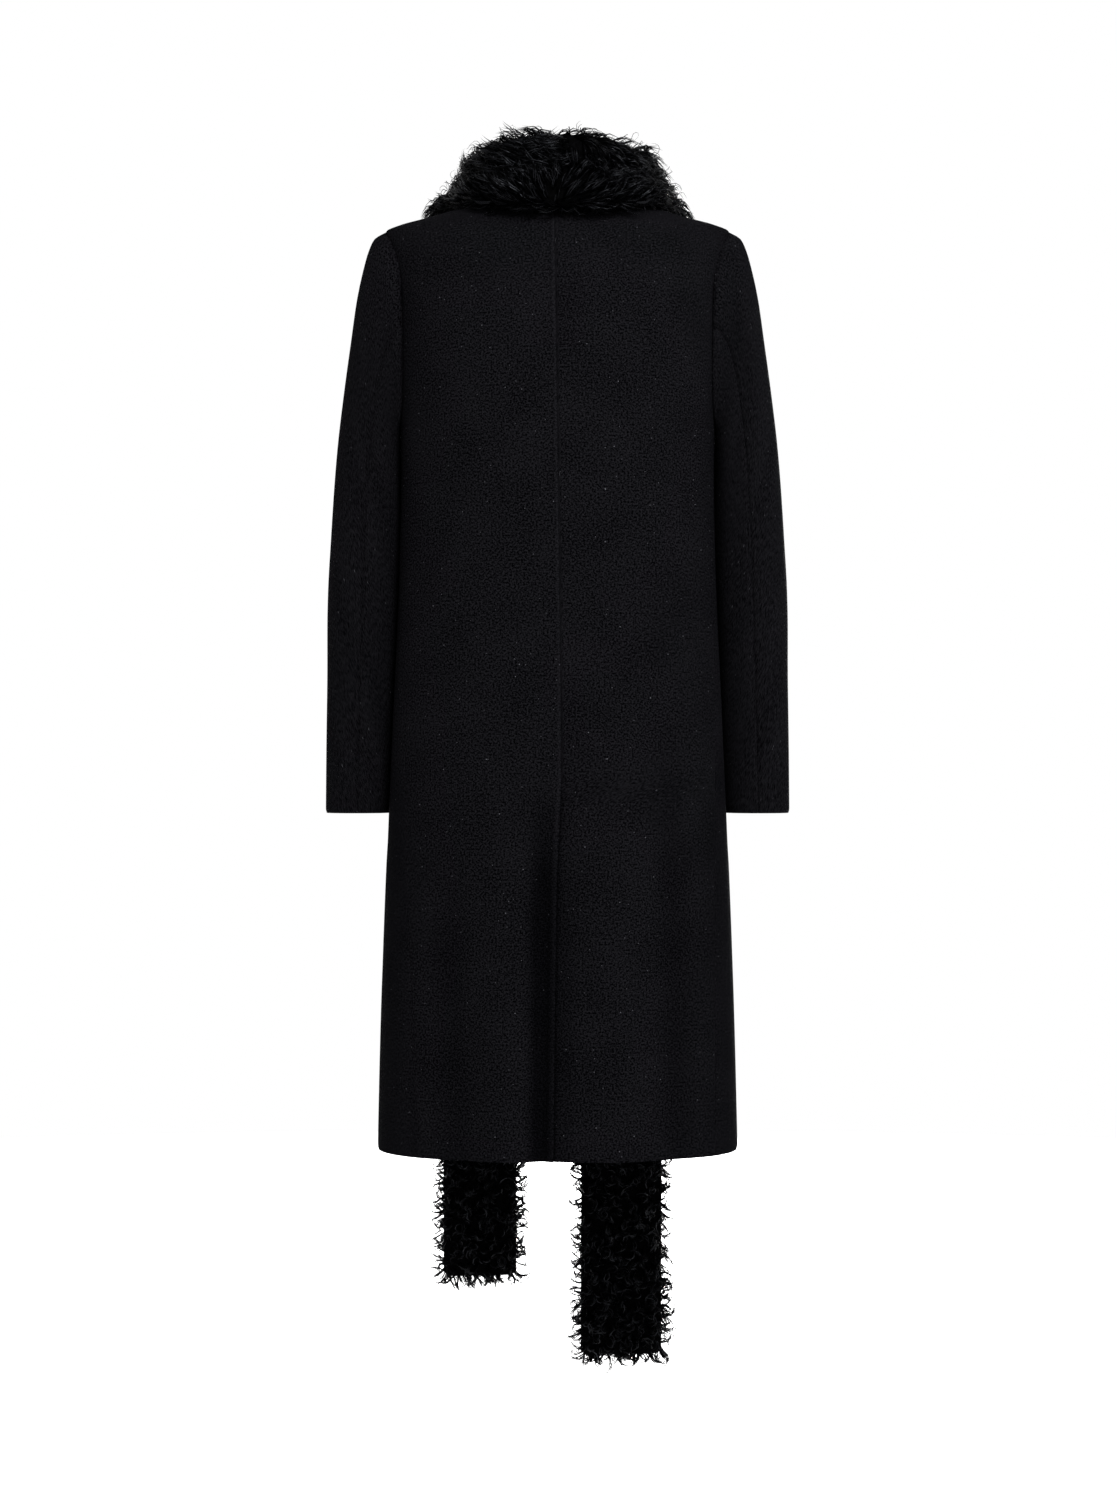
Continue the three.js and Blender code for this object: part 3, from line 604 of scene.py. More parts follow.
class Shell:
    """A closed wall of cloth between an outer and an inner grid of points."""

    def __init__(self, name: str, outer: Points, inner: Points, marks: dict[str, Points]) -> None:
        """Keep the two grids.

        Args:
            name: The piece's name.
            outer: Rows by columns of outer points, in millimetres.
            inner: The same of inner points.
            marks: Values of the outer points, from 0 to 1, that the finish reads by name.
        """
        self.name = name
        self.outer = outer
        self.inner = inner
        self.marks = marks

    def build(self) -> bpy.types.Object:
        """Make the piece's object, closed and facing outwards, with a UV map in metres.

        Returns:
            The object, linked to the scene.
        """
        rows, columns = self.outer.shape[:2]
        points = np.concatenate([self.outer.reshape(-1, 3), self.inner.reshape(-1, 3)]) * MM
        size = rows * columns
        index = np.arange(size).reshape(rows, columns)
        a, b = index[:-1, :-1], index[:-1, 1:]
        c, d = index[1:, 1:], index[1:, :-1]
        faces = [np.stack([a, b, c, d], -1).reshape(-1, 4)]
        faces.append(np.stack([a, d, c, b], -1).reshape(-1, 4) + size)
        rim = [index[0, :][::-1], index[:, -1][::-1], index[-1, :], index[:, 0]]
        for line in rim:
            faces.append(np.stack([line[:-1], line[1:], line[1:] + size, line[:-1] + size], -1))
        quads = np.concatenate(faces)
        u, v = lengths(self.outer)
        place_on_bolt = 0.37 * (sum(self.name.encode()) % 41)
        uv = np.stack([u * MM + place_on_bolt, v * MM], -1).reshape(-1, 2)
        uv = np.concatenate([uv, uv])
        corner = points[quads]
        volume = np.einsum("ij,ij->", corner[:, 0], np.cross(corner[:, 1], corner[:, 2]))
        volume += np.einsum("ij,ij->", corner[:, 0], np.cross(corner[:, 2], corner[:, 3]))
        if float(volume) < 0:
            quads = quads[:, ::-1]
        mesh = bpy.data.meshes.new(self.name)
        mesh.from_pydata(points.tolist(), [], quads.tolist())
        layer = mesh.uv_layers.new(name="cut")
        corners = np.empty(len(mesh.loops), dtype=np.int32)
        mesh.loops.foreach_get("vertex_index", corners)
        layer.data.foreach_set("uv", uv[corners].astype(np.float32).ravel())
        for mark, values in self.marks.items():
            written = mesh.attributes.new(mark, "FLOAT", "POINT")
            both = np.concatenate([values.ravel(), np.zeros(size)])
            written.data.foreach_set("value", both.astype(np.float32))
        return linked(mesh)


@dataclass(frozen=True)
class EdgeFinish:
    """How the cloth rounds off towards an edge.

    Args:
        dip: How far the outer face sinks at the edge.
        reach: Width over which it sinks.
        pucker: Height of the small waves beside a sewn seam.
        wave: Length of one of those waves.
        pucker_reach: Width over which they die out.
        sway: How unevenly they follow each other.
    """

    dip: float
    reach: float
    pucker: float = 0.0
    wave: float = 11.0
    pucker_reach: float = 7.0
    sway: float = 1.7

    def relief(self, distance: Points, along: Points) -> Points:
        """The outer face's height near the edge.

        Args:
            distance: How far each point is from the edge.
            along: How far each point is along the edge.

        Returns:
            The height, negative where the cloth sinks.
        """
        dip = -self.dip * np.exp(-((distance / self.reach) ** 2))
        near = np.exp(-((distance / self.pucker_reach) ** 2))
        phase = along / self.wave * 2 * np.pi
        return dip + self.pucker * near * np.sin(phase + self.sway * np.sin(phase * 0.37))


HEM = EdgeFinish(dip=1.0, reach=2.2)
SEAM_EDGE = EdgeFinish(dip=0.2, reach=1.6, pucker=0.12)
SLEEVE_SEAM = EdgeFinish(dip=0.1, reach=1.4, pucker=0.08)
ARMHOLE_EDGE = EdgeFinish(dip=0.08, reach=2.0, pucker=0.16, wave=14.0)
LAP_EDGE = EdgeFinish(dip=0.16, reach=1.2, pucker=0.1)
INNER_SHARE = 0.35  # how much of the outer face's dip the inner face makes too


def finish_edges(outer: Points, inner: Points, edges: dict[str, EdgeFinish]) -> None:
    """Round a wall's edges off in place.

    Args:
        outer: Rows by columns of outer points.
        inner: The same of inner points.
        edges: A finish for each of first_row, last_row, first_column and last_column.
    """
    way = unit(outer - inner)
    u, v = lengths(outer)
    lift = np.zeros(outer.shape[:2])
    places = {
        "first_column": (u, v),
        "last_column": (u[:, -1:] - u, v),
        "first_row": (v, u),
        "last_row": (v[-1:] - v, u),
    }
    for edge, finish in edges.items():
        distance, position = places[edge]
        lift += finish.relief(distance, position)
    outer += way * lift[..., None]
    inner -= way * (INNER_SHARE * np.minimum(lift, 0))[..., None]


@dataclass
class BodyPanel:
    """What the back and front pieces of the body have in common."""

    form: CoatForm
    side: Side
    row_parts: int = 6
    armhole_parts: int = 3
    shoulder_parts: int = 3
    # depth from which a fold's hollow gets painted shade, and the depth over which the shade deepens
    trough_from: float = 1.0
    trough_deep: float = 8.0
    # painted shade on the skirt's sides, which turn away from the light: how dark, from which share of the
    # half width, and over what height
    side_shade: float = 0.6
    side_from: float = 0.74
    side_top: float = -560.0
    side_fade: float = 120.0

    def heights(self) -> Points:
        """The rows' heights from the hem to the neck, closest where the form bends.

        Returns:
            Rising heights.
        """
        form = self.form
        hem = form.hem_z + np.array([0, 1, 2.6, 5.5, 10, 17])
        below = refine([hem[-1], -940, -860, -780, -710, -642, form.vent_top_z], self.row_parts)
        above = [form.vent_top_z, -600, -535, -470, -400, -335, -280, form.armpit_z]
        above = refine(above, self.row_parts)
        angles = refine(np.arange(180, -1, -15), self.armhole_parts)
        shoulder = [form.shoulder_z, -18, -13, -7, -1, 3.5, form.neck_top_z]
        shoulder = refine(shoulder, self.shoulder_parts)
        return np.concatenate([hem, below[1:], above[1:], form.armhole_z(angles)[1:], shoulder[1:]])

    def last_angle(self, z: float, face: Face) -> float:
        """The angle of the side seam, armhole or shoulder seam at a height.

        Args:
            z: Height.
            face: The back or the front.

        Returns:
            Degrees, signed by side.
        """
        form, side = self.form, self.side
        if z >= form.shoulder_z - 0.01:
            return side.value * 90.0
        if z > form.armpit_z + 0.01:
            angle = self.armhole_angle(z)
            x = smooth_table(form.armhole, 1 if face is Face.BACK else 2, angle)
            return side.value * float(form.angle_at(z, x, face))
        share = smooth_table(form.side_seam, 1 if side is Side.LEFT else 2, z)
        return side.value * float(form.angle_at(z, form.section(z)[0] * share, Face.BACK))

    def armhole_angle(self, z: float) -> float:
        """The angle down from the shoulder point at which the armhole has a height."""
        middle = (self.form.shoulder_z + self.form.armpit_z) / 2
        return math.degrees(math.acos(max(-1, min(1, (z - middle) / (self.form.shoulder_z - middle)))))

    def sunk(self, outer: Points, face: Face) -> Points:
        """Painted shade at each point, from 0 to 1: darker in the folds' hollows, and on the skirt's sides,
        which turn away from the light.

        Args:
            outer: Points of the outer face.
            face: The back or the front.

        Returns:
            One value for each point.
        """
        x, z = outer[..., 0], outer[..., 2]
        relief = self.form.relief(x, z, np.full(outer.shape[:2], face.value))
        aside = ease((np.abs(x) / self.form.section(z)[0] - self.side_from) / (1 - self.side_from))
        aside = self.side_shade * aside * ease((self.side_top - z) / self.side_fade)
        return np.maximum(np.clip((-relief - self.trough_from) / self.trough_deep, 0, 1), aside)

    def slant_edges(self, outer: Points, inner: Points, heights: Points, face: Face) -> None:
        """Cut the sewn edges at a slant, so that no light shows through a seam.

        Args:
            outer: The outer grid.
            inner: The inner grid, which is changed.
            heights: The rows' heights.
            face: The back or the front.
        """
        form = self.form
        turn = np.array([self.side.value, 1, 1])
        inner[:, -1] += face.value * form.slant * unit(outer[:, -1] - outer[:, -2])
        if face is Face.BACK:
            inner[:, 0, 0] += form.slant * (heights <= 0)
        for row, z in enumerate(heights):
            if not form.armpit_z - 0.01 < z < form.shoulder_z + 0.01:
                continue
            angle = face.value * self.armhole_angle(z)
            _, inside, across = ArmholeSeam(form).frame(np.array([angle]))
            inner[row, -1] = (inside[0] + across[0] * form.slant) * turn

    def wall(
        self, angles: Callable[[float], Points], lift: Callable[[Points, float], Points], face: Face
    ) -> tuple[Points, Points]:
        """Build the outer and inner grids of a panel.

        Args:
            angles: Gives the angles of a row's columns at a height.
            lift: Gives the cloth's height at places across, in a row.
            face: The back or the front.

        Returns:
            The outer and the inner grid.
        """
        form = self.form
        heights = self.heights()
        outer, inner = [], []
        for z in heights:
            row = angles(float(z))
            x = form.surface(z, row)[0][:, 0]
            out = lift(x, float(z))
            outer.append(form.surface(z, row, out)[0])
            inner.append(form.surface(z, row, np.minimum(out, 0) - form.cloth)[0])
        outer, inner = np.array(outer), np.array(inner)
        self.slant_edges(outer, inner, heights, face)
        return outer, inner


@dataclass
class ArmholeSeam:
    """The seam between the body and a sleeve, worked out for the wearer's left arm."""

    form: CoatForm
    shade_top: float = -58.0
    shade_fade: float = 34.0
    shade_wide: float = 2.6

    def shade(self, distance: Points, z: Points) -> Points:
        """The painted shade along the back armhole, where the sleeve meets the body, which fades out at the
        shoulder, from 0 to 1.
        """
        low = ease((self.shade_top - z) / self.shade_fade)
        return low * np.exp(-((distance / self.shade_wide) ** 2))

    def frame(self, angle: Points) -> tuple[Points, Points, Points]:
        """The seam's edge, its inner edge and the way across it towards the sleeve.

        Args:
            angle: Degrees round the arm.

        Returns:
            Those three.
        """
        form = self.form
        sleeve = SleeveForm(form)
        edge, normal = form.armhole_edge(angle)
        step = 0.02
        down = sleeve.point(step, angle) - sleeve.point(0, angle)
        around = sleeve.point(0, angle + 1) - sleeve.point(0, angle - 1)
        outward = unit(np.cross(down, around))
        inward = -unit(normal + outward)
        length = form.cloth / np.clip(-np.sum(inward * normal, -1), 0.62, 1)
        along = unit(self.edge(angle + 2) - self.edge(angle - 2))
        across = unit(np.cross(along, inward))
        across = across * np.where(across[..., :1] < 0, -1, 1)
        return edge, edge + inward * length[..., None], across

    def edge(self, angle: Points) -> Points:
        """The seam's edge at an angle that may lie past half a turn."""
        return self.form.armhole_edge((angle + 180) % 360 - 180)[0]


@dataclass
class BackPanel(BodyPanel):
    """One back piece. The left one laps over the right one below the vent's top."""

    open_marks: Sequence[float] = (0, 6.5, 9, 16, 23, 30, 38)
    closed_marks: Sequence[float] = (0, 4, 6.5, 12, 18, 26, 36)
    ridge_high: float = 0.7
    vent_ridge_high: float = 1.3
    ridge_wide: float = 2.4
    vent_ridge_wide: float = 6.0
    ridge_side: float = 3.0
    # middle and half width of the painted highlight on the seam's ridge
    rubbed: float = 1.4
    rubbed_wide: float = 1.7
    shadow_wide: float = 2.6
    cut: tuple[float, float] = (0.26, 1.05)
    area: float = 0.205

    def opened(self, z: float) -> float:
        """How far the vent's underlap has opened at a height, from 0 to 1."""
        return float(np.clip((self.form.vent_top_z - z) / self.form.vent_slant, 0, 1))

    def angles(self, z: float) -> Points:
        """The angles of a row's columns, from the centre back to the side.

        Args:
            z: Height.

        Returns:
            Signed degrees.
        """
        form, side = self.form, self.side.value
        last = self.last_angle(z, Face.BACK)
        centre = float(smooth_table(form.centre_back, 1, z))
        opened = self.opened(z)
        marks = np.array(self.closed_marks) * (1 - opened) + np.array(self.open_marks) * opened
        marks = refine(marks, 3)
        if z > 0:
            x = side * float(smooth_table(form.back_neck, 1, z))
            first = float(form.angle_at(z, x, Face.BACK))
            lead = first + (last - first) * 0.4 * np.arange(len(marks)) / len(marks)
        elif self.side is Side.RIGHT:
            under = refine(self.open_marks[::-1], 3)
            tight = -0.2 * np.arange(len(under))
            x = centre + tight * (1 - opened) + under * opened
            beside = np.array([-6.5, -form.lap_ease]) * (1 - opened)
            beside += np.array([-3.5, -form.lap_ease]) * opened
            lead = form.angle_at(z, np.append(x, centre + beside), Face.BACK)
        else:
            lead = form.angle_at(z, centre + side * marks, Face.BACK)
        rest = 0.93 * np.arange(1, 21) / 20
        rest = np.concatenate([rest, 1 - np.array([0.05, 0.032, 0.018, 0.008, 0])])
        if self.side is Side.RIGHT and len(lead) == len(marks):
            extra = lead[-1] + (last - lead[-1]) * np.array([0.03, 0.06])
            lead = np.append(lead, extra)
        return np.concatenate([lead, lead[-1] + (last - lead[-1]) * rest])

    def beside_vent(self, outer: Points) -> tuple[Points, Points]:
        """How far each point lies past the centre line, and how far the vent has opened there.

        Args:
            outer: Points of the outer face.

        Returns:
            Both, one value for each point.
        """
        z = outer[..., 2]
        past = outer[..., 0] - smooth_table(self.form.centre_back, 1, z)
        return past, np.clip((self.form.vent_top_z - z) / self.form.vent_slant, 0, 1)

    def worn(self, outer: Points) -> Points:
        """Painted highlight on the ridge beside the centre seam, where the light catches it, from 0 to 1.

        Args:
            outer: Points of the outer face.

        Returns:
            One value for each point.
        """
        past, opened = self.beside_vent(outer)
        middle = self.rubbed * (1 + opened)
        ridge = np.exp(-(((past - middle) / self.rubbed_wide) ** 2)) * (outer[..., 2] <= 0)
        return ridge * (self.side is Side.LEFT)

    def lap_shadow(self, outer: Points) -> Points:
        """How far each point of the underlap lies in the lap's painted shadow line, from 0 to 1."""
        past, opened = self.beside_vent(outer)
        return opened * np.exp(-((past / self.shadow_wide) ** 2)) * (self.side is Side.RIGHT)

    def lift(self, x: Points, z: float) -> Points:
        """The raised seam on the left piece, and the sunken underlap of the right one.

        Args:
            x: Distance across, wearer's left positive.
            z: Height.

        Returns:
            Heights, outwards positive.
        """
        form = self.form
        past = x - float(smooth_table(form.centre_back, 1, z))
        if self.side is Side.LEFT:
            opened = self.opened(z)
            wide = self.ridge_wide + (self.vent_ridge_wide - self.ridge_wide) * opened
            wide += 0.5 * math.sin(z / 23.0) + 0.3 * math.sin(z / 9.0)
            high = self.ridge_high + (self.vent_ridge_high - self.ridge_high) * opened
            return high * (1 - ease((past - wide) / self.ridge_side)) * (z <= 0)
        sunk = form.under * ease((form.sink_z - z) / (form.sink_z - form.vent_top_z))
        return -sunk * ease((past + form.lap_ease) / (form.lap_ease - 1))

    def build(self) -> bpy.types.Object:
        """Make the piece.

        Returns:
            The object, linked to the scene.
        """
        outer, inner = self.wall(self.angles, self.lift, Face.BACK)
        edges = {"first_row": HEM, "last_column": SEAM_EDGE, "first_column": LAP_EDGE}
        finish_edges(outer, inner, edges)
        # painted shade: the folds' hollows, the skirt's sides, the lap's shadow line and the line beside the
        # armhole; painted highlight on the seam's ridge
        distance = np.linalg.norm(outer - outer[:, -1:], axis=-1)
        beside_arm = ArmholeSeam(self.form).shade(distance, outer[..., 2])
        beside_arm *= outer[..., 2] > self.form.armpit_z
        sunk = np.maximum(self.sunk(outer, Face.BACK), self.lap_shadow(outer))
        sunk = np.maximum(sunk, beside_arm)
        marks = {"sunk": sunk, "worn": self.worn(outer)}
        return Shell(f"back_{self.side.word}_cloth", outer, inner, marks).build()


@dataclass
class FrontPanel(BodyPanel):
    """One front piece. The right front laps over the left, whose edge sinks under it."""

    marks: Sequence[float] = (0, 9, 18, 26, 35)
    cut: tuple[float, float] = (0.37, 1.05)
    area: float = 0.335

    def angles(self, z: float) -> Points:
        """The angles of a row's columns, from the front edge to the side.

        Args:
            z: Height.

        Returns:
            Signed degrees.
        """
        form, side = self.form, self.side.value
        last = self.last_angle(z, Face.FRONT)
        lowest = form.front_neck[0][0]
        edge = -form.front_lap if z < lowest else float(smooth_table(form.front_neck, 1, z))
        base = np.array(self.marks) / form.front_lap / 2
        base = refine(np.concatenate([base, 0.5 + base[1:]]), 3)
        if edge < 0:
            x = np.append(edge - 2 * edge * base, form.lap_ease - edge)
            lead = form.front_angle(z, side * x, self.side)
        else:
            first = float(form.front_angle(z, side * edge, self.side))
            count = len(base) + 1
            lead = first + (last - first) * 0.5 * np.arange(count) / count
        rest = 0.94 * np.arange(1, 23) / 22
        rest = np.concatenate([rest, 1 - np.array([0.045, 0.028, 0.016, 0.007, 0])])
        return np.concatenate([lead, lead[-1] + (last - lead[-1]) * rest])

    def lift(self, x: Points, z: float) -> Points:
        """The left front sinks where it lies under the right one.

        Args:
            x: Distance across, wearer's left positive.
            z: Height.

        Returns:
            Heights, outwards positive.
        """
        form = self.form
        lowest = form.front_neck[0][0]
        edge = -form.front_lap if z < lowest else float(smooth_table(form.front_neck, 1, z))
        if self.side is Side.RIGHT or edge >= 0:
            return np.zeros_like(x)
        under = -edge - x
        return -form.under * ease((under + form.lap_ease) / (form.lap_ease - 1))

    def build(self) -> bpy.types.Object:
        """Make the piece.

        Returns:
            The object, linked to the scene.
        """
        outer, inner = self.wall(self.angles, self.lift, Face.FRONT)
        edges = {"first_row": HEM, "last_column": SEAM_EDGE, "first_column": HEM}
        finish_edges(outer, inner, edges)
        # painted shade in the folds' hollows and on the skirt's sides
        marks = {"sunk": self.sunk(outer, Face.FRONT)}
        return Shell(f"front_{self.side.word}_cloth", outer, inner, marks).build()


class SleevePart(Enum):
    """The two pieces of a set-in sleeve."""

    UPPER = "upper"
    UNDER = "under"


@dataclass
class SleevePanel:
    """One piece of a sleeve, between two seams that run down the arm."""

    form: CoatForm
    side: Side
    part: SleevePart
    turn_parts: int = 3

    @property
    def cut(self) -> tuple[float, float]:
        """The piece's cut size, in metres."""
        return (0.21, 0.66) if self.part is SleevePart.UPPER else (0.2, 0.57)

    @property
    def area(self) -> float:
        """The piece's flat area, in square metres."""
        return 0.095 if self.part is SleevePart.UPPER else 0.081

    def build(self) -> bpy.types.Object:
        """Make the piece.

        Returns:
            The object, linked to the scene.
        """
        sleeve = SleeveForm(self.form)
        first, last = sleeve.front_seam, sleeve.back_seam
        if self.part is SleevePart.UNDER:
            first, last = last, 360 + first
        angles = refine(np.arange(first, last + 1, 15), self.turn_parts)
        rings = np.concatenate([refine(np.arange(0, 5), 3), refine(np.arange(4, 14), 6)[1:-1]])
        rings = np.concatenate([rings, [12.93, 12.965, 12.985, 13]])
        grid_ring, grid_angle = np.meshgrid(rings, angles, indexing="ij")
        wrapped = (grid_angle + 180) % 360 - 180
        wrapped = np.where(np.isclose(wrapped, -180), 180, wrapped)
        outer = sleeve.point(grid_ring, wrapped)
        step = 0.05
        down = sleeve.point(np.minimum(grid_ring + step, 13), wrapped)
        down = down - sleeve.point(np.maximum(grid_ring - step, 0), wrapped)
        around = sleeve.point(grid_ring, wrapped + 1) - sleeve.point(grid_ring, wrapped - 1)
        normal = unit(np.cross(down, around))
        inner = outer - normal * self.form.cloth
        seam = ArmholeSeam(self.form)
        edge, inside, across = seam.frame(wrapped[0])
        outer[0] = edge
        inner[0] = inside + across * self.form.slant
        inner[:, 0] += self.form.slant * unit(outer[:, 1] - outer[:, 0])
        inner[:, -1] += self.form.slant * unit(outer[:, -1] - outer[:, -2])
        edges = {"first_row": ARMHOLE_EDGE, "last_row": HEM}
        edges |= {"first_column": SLEEVE_SEAM, "last_column": SLEEVE_SEAM}
        finish_edges(outer, inner, edges)
        turn = np.array([self.side.value, 1, 1])
        name = f"sleeve_{self.part.value}_{self.side.word}_cloth"
        # painted shade along the back of the armhole
        distance = np.linalg.norm(outer - outer[:1], axis=-1)
        marks = {"sunk": seam.shade(distance, outer[..., 2]) * (wrapped > 0)}
        return Shell(name, outer * turn, inner * turn, marks).build()


@dataclass
class FurSection:
    """One section across a band of fur."""

    at: Points
    up: Points
    wide: float
    thick: float
    way: Points | None = None


@dataclass
class FurForm:
    """Where the fur lies: a collar round the neck and two long ends down the front."""

    coat: CoatForm
    # x, y, z of the middle, x, y, z towards the upper edge, width, thickness
    collar: Sequence[Row] = (
        (0, 0, 80, 40, 0, -0.14, 1, 89, 34),
        (1, 37, 75, 40, -0.1, -0.14, 1, 86, 34),
        (2, 68, 57, 39, -0.24, -0.1, 1, 77, 34),
        (3, 86, 26, 39.5, -0.42, -0.04, 0.96, 66, 33),
        (4, 91, -12, 38, -0.55, 0.06, 0.88, 72, 34),
        (5, 94, -52, 23, -0.8, 0.2, 0.6, 88, 34),
        (6, 92, -87, -13, -0.95, -0.1, 0.34, 91, 35),
    )
    lean_shift: float = -4.0
    lean_tilt: float = 0.01
    # z, middle of the left end, middle of the right end, thickness
    scarf: Sequence[Row] = (
        (-52, 93, -92, 36),
        (-110, 92, -90, 35),
        (-200, 91, -87, 34),
        (-420, 89, -81, 33),
        (-720, 88, -76, 33),
        (-1020, 88, -73, 34),
        (-1180, 88, -72, 34),
        (-1280, 88, -72, 34),
    )
    tip: float = 9.0
    clear: float = 1.6
    square: float = 3.0

    def collar_section(self, t: float, sign: float) -> FurSection:
        """The collar's section at a place along it, 0 at the centre back and 6 at an end.

        Args:
            t: The place.
            sign: 1 on the wearer's left and -1 on the right.

        Returns:
            The section.
        """
        x, y, z, ux, uy, uz, wide, thick = (
            float(smooth_table(self.collar, i, t)) for i in range(1, 9)
        )
        lean = float(1 - ease(t - 4))
        at = np.array([x * sign + lean * self.lean_shift, y, z])
        up = unit(np.array([ux * sign + lean * self.lean_tilt, uy, uz]))
        return FurSection(at, up, wide, thick)

    def collar_way(self, sign: float) -> Points:
        """The direction in which the collar's end runs on into the hanging end."""
        return unit(self.collar_section(6, sign).at - self.collar_section(5.5, sign).at)

    def collar_sections(self, parts: int = 5) -> list[FurSection]:
        """The collar's sections from the wearer's right round the back to the left.

        Args:
            parts: Sections to a unit of the place.

        Returns:
            The sections in order.
        """
        steps = 6 * parts
        places = [(abs(i) / parts, 1.0 if i >= 0 else -1.0) for i in range(-steps, steps + 1)]
        sections = [self.collar_section(t, sign) for t, sign in places]
        sections[0].way = -self.collar_way(-1)
        sections[-1].way = self.collar_way(1)
        return sections

    def scarf_sections(
        self, side: Side, wide: float, end_z: float, turn: float, step: float = 11.0
    ) -> list[FurSection]:
        """The sections of one hanging end, from the collar down.

        Args:
            side: The wearer's side.
            wide: Width.
            end_z: Height of its bottom.
            turn: Degrees that it has turned there.
            step: Distance between sections.

        Returns:
            The sections in order.
        """
        sign = float(side.value)
        last = self.collar_section(6, sign)
        way = self.collar_way(sign)
        sections = [FurSection(last.at, last.up, last.wide, last.thick, way)]
        start_z = self.scarf[0][0]
        count = round((start_z - end_z) / step)
        column = 1 if side is Side.LEFT else 2
        for i in range(count + 2):
            share = i / count
            z = end_z if i > count else start_z + (end_z + self.tip - start_z) * share
            x = float(smooth_table(self.scarf, column, z))
            thick = float(smooth_table(self.scarf, 3, z))
            twist = math.radians(turn) * float(ease((start_z - z) / 300))
            up = np.array([-sign * math.cos(twist), -math.sin(twist), 0.0])
            settled = float(ease((start_z - z) / 90))
            up = unit(up + (last.up - up) * (1 - settled))
            width = last.wide + (wide - last.wide) * settled
            sections.append(self.rested(FurSection(np.array([x, 0.0, z]), up, width, thick)))
        return sections

    def rested(self, section: FurSection) -> FurSection:
        """Move a section forward until it just clears the coat's front.

        Args:
            section: A section of a hanging end.

        Returns:
            The moved section.
        """
        z = max(section.at[2], self.coat.hem_z)
        inward = unit(np.cross((0, 0, 1), section.up))
        inward = inward if inward[1] >= 0 else -inward
        half = float(self.coat.section(z)[0])
        y = 0.0
        for share in (-0.5, -0.47, -0.4, -0.25, -0.1, 0, 0.1, 0.25, 0.4, 0.47, 0.5):
            deep = (1 - (2 * abs(share)) ** self.square) ** (1 / self.square)
            corner = section.up * section.wide * share + inward * section.thick / 2 * deep
            x = float(np.clip(section.at[0] + corner[0], -half, half))
            side = Side.LEFT if x >= 0 else Side.RIGHT
            cloth = self.coat.surface(z, self.coat.front_angle(z, x, side))[0][1]
            y = min(y, float(cloth) - corner[1] - self.clear)
        section.at[1] = y
        return section


@dataclass
class FurSkin:
    """The hide under the hair: a band a little smaller than the fur that stands on it."""

    name: str
    sections: list[FurSection]
    inset: float = 6.0
    around: int = 36
    square: float = 3.0
    drop: float = 0.0

    def build(self) -> bpy.types.Object:
        """Make the band, closed at both ends, with rounded corners.

        Returns:
            The object, linked to the scene.
        """
        middles = np.array([s.at - s.up * self.drop for s in self.sections])
        ways = unit(np.gradient(middles, axis=0))
        for i, section in enumerate(self.sections):
            if section.way is not None:
                ways[i] = section.way
        ups = np.array([s.up for s in self.sections])
        outs = unit(np.cross(ups, ways))
        ups = unit(np.cross(ways, outs))
        turn = np.radians(360 / self.around * (np.arange(self.around) + 0.5))
        power = 2 / self.square
        tall = np.abs(np.cos(turn)) ** power * np.sign(np.cos(turn))
        deep = np.abs(np.sin(turn)) ** power * np.sign(np.sin(turn))
        wide = np.array([s.wide / 2 - self.inset for s in self.sections])
        thick = np.array([s.thick / 2 - self.inset for s in self.sections])
        if self.sections[-1].way is None:
            wide[-1] -= self.inset * 0.8
            thick[-1] -= self.inset * 0.5
            middles[-1] -= ways[-1] * self.inset * 0.8
        rings = (
            middles[:, None]
            + ups[:, None] * (wide[:, None] * tall)[..., None]
            + outs[:, None] * (thick[:, None] * deep)[..., None]
        )
        rows, size = rings.shape[:2]
        index = np.arange(rows * size).reshape(rows, size)
        nearby = np.roll(index, -1, axis=1)
        quads = np.stack([index[:-1], nearby[:-1], nearby[1:], index[1:]], -1).reshape(-1, 4)
        faces = [list(map(int, quad)) for quad in quads]
        first, last = rows * size, rows * size + 1
        for s in range(size):
            after = (s + 1) % size
            faces.append([first, after, s])
            faces.append([last, int(index[-1, s]), int(index[-1, after])])
        points = np.concatenate([rings.reshape(-1, 3), middles[[0, -1]]]) * MM
        return closed_piece(self.name, points, faces)


def closed_piece(name: str, points: Points, faces: list[list[int]]) -> bpy.types.Object:
    """Make a closed mesh that faces outwards.

    Args:
        name: The piece's name.
        points: Its points, in metres.
        faces: Its faces, all turned the same way.

    Returns:
        The linked object.
    """
    volume = 0.0
    for face in faces:
        fan = points[face]
        for i in range(1, len(face) - 1):
            volume += float(np.dot(fan[0], np.cross(fan[i], fan[i + 1])))
    if volume < 0:
        faces = [face[::-1] for face in faces]
    mesh = bpy.data.meshes.new(name)
    mesh.from_pydata(points.tolist(), [], faces)
    return linked(mesh)


class LockStyle(Enum):
    """The ways in which a lock of hair lies."""

    SWEPT = "swept"
    CURLED = "curled"
    LOOSE = "loose"


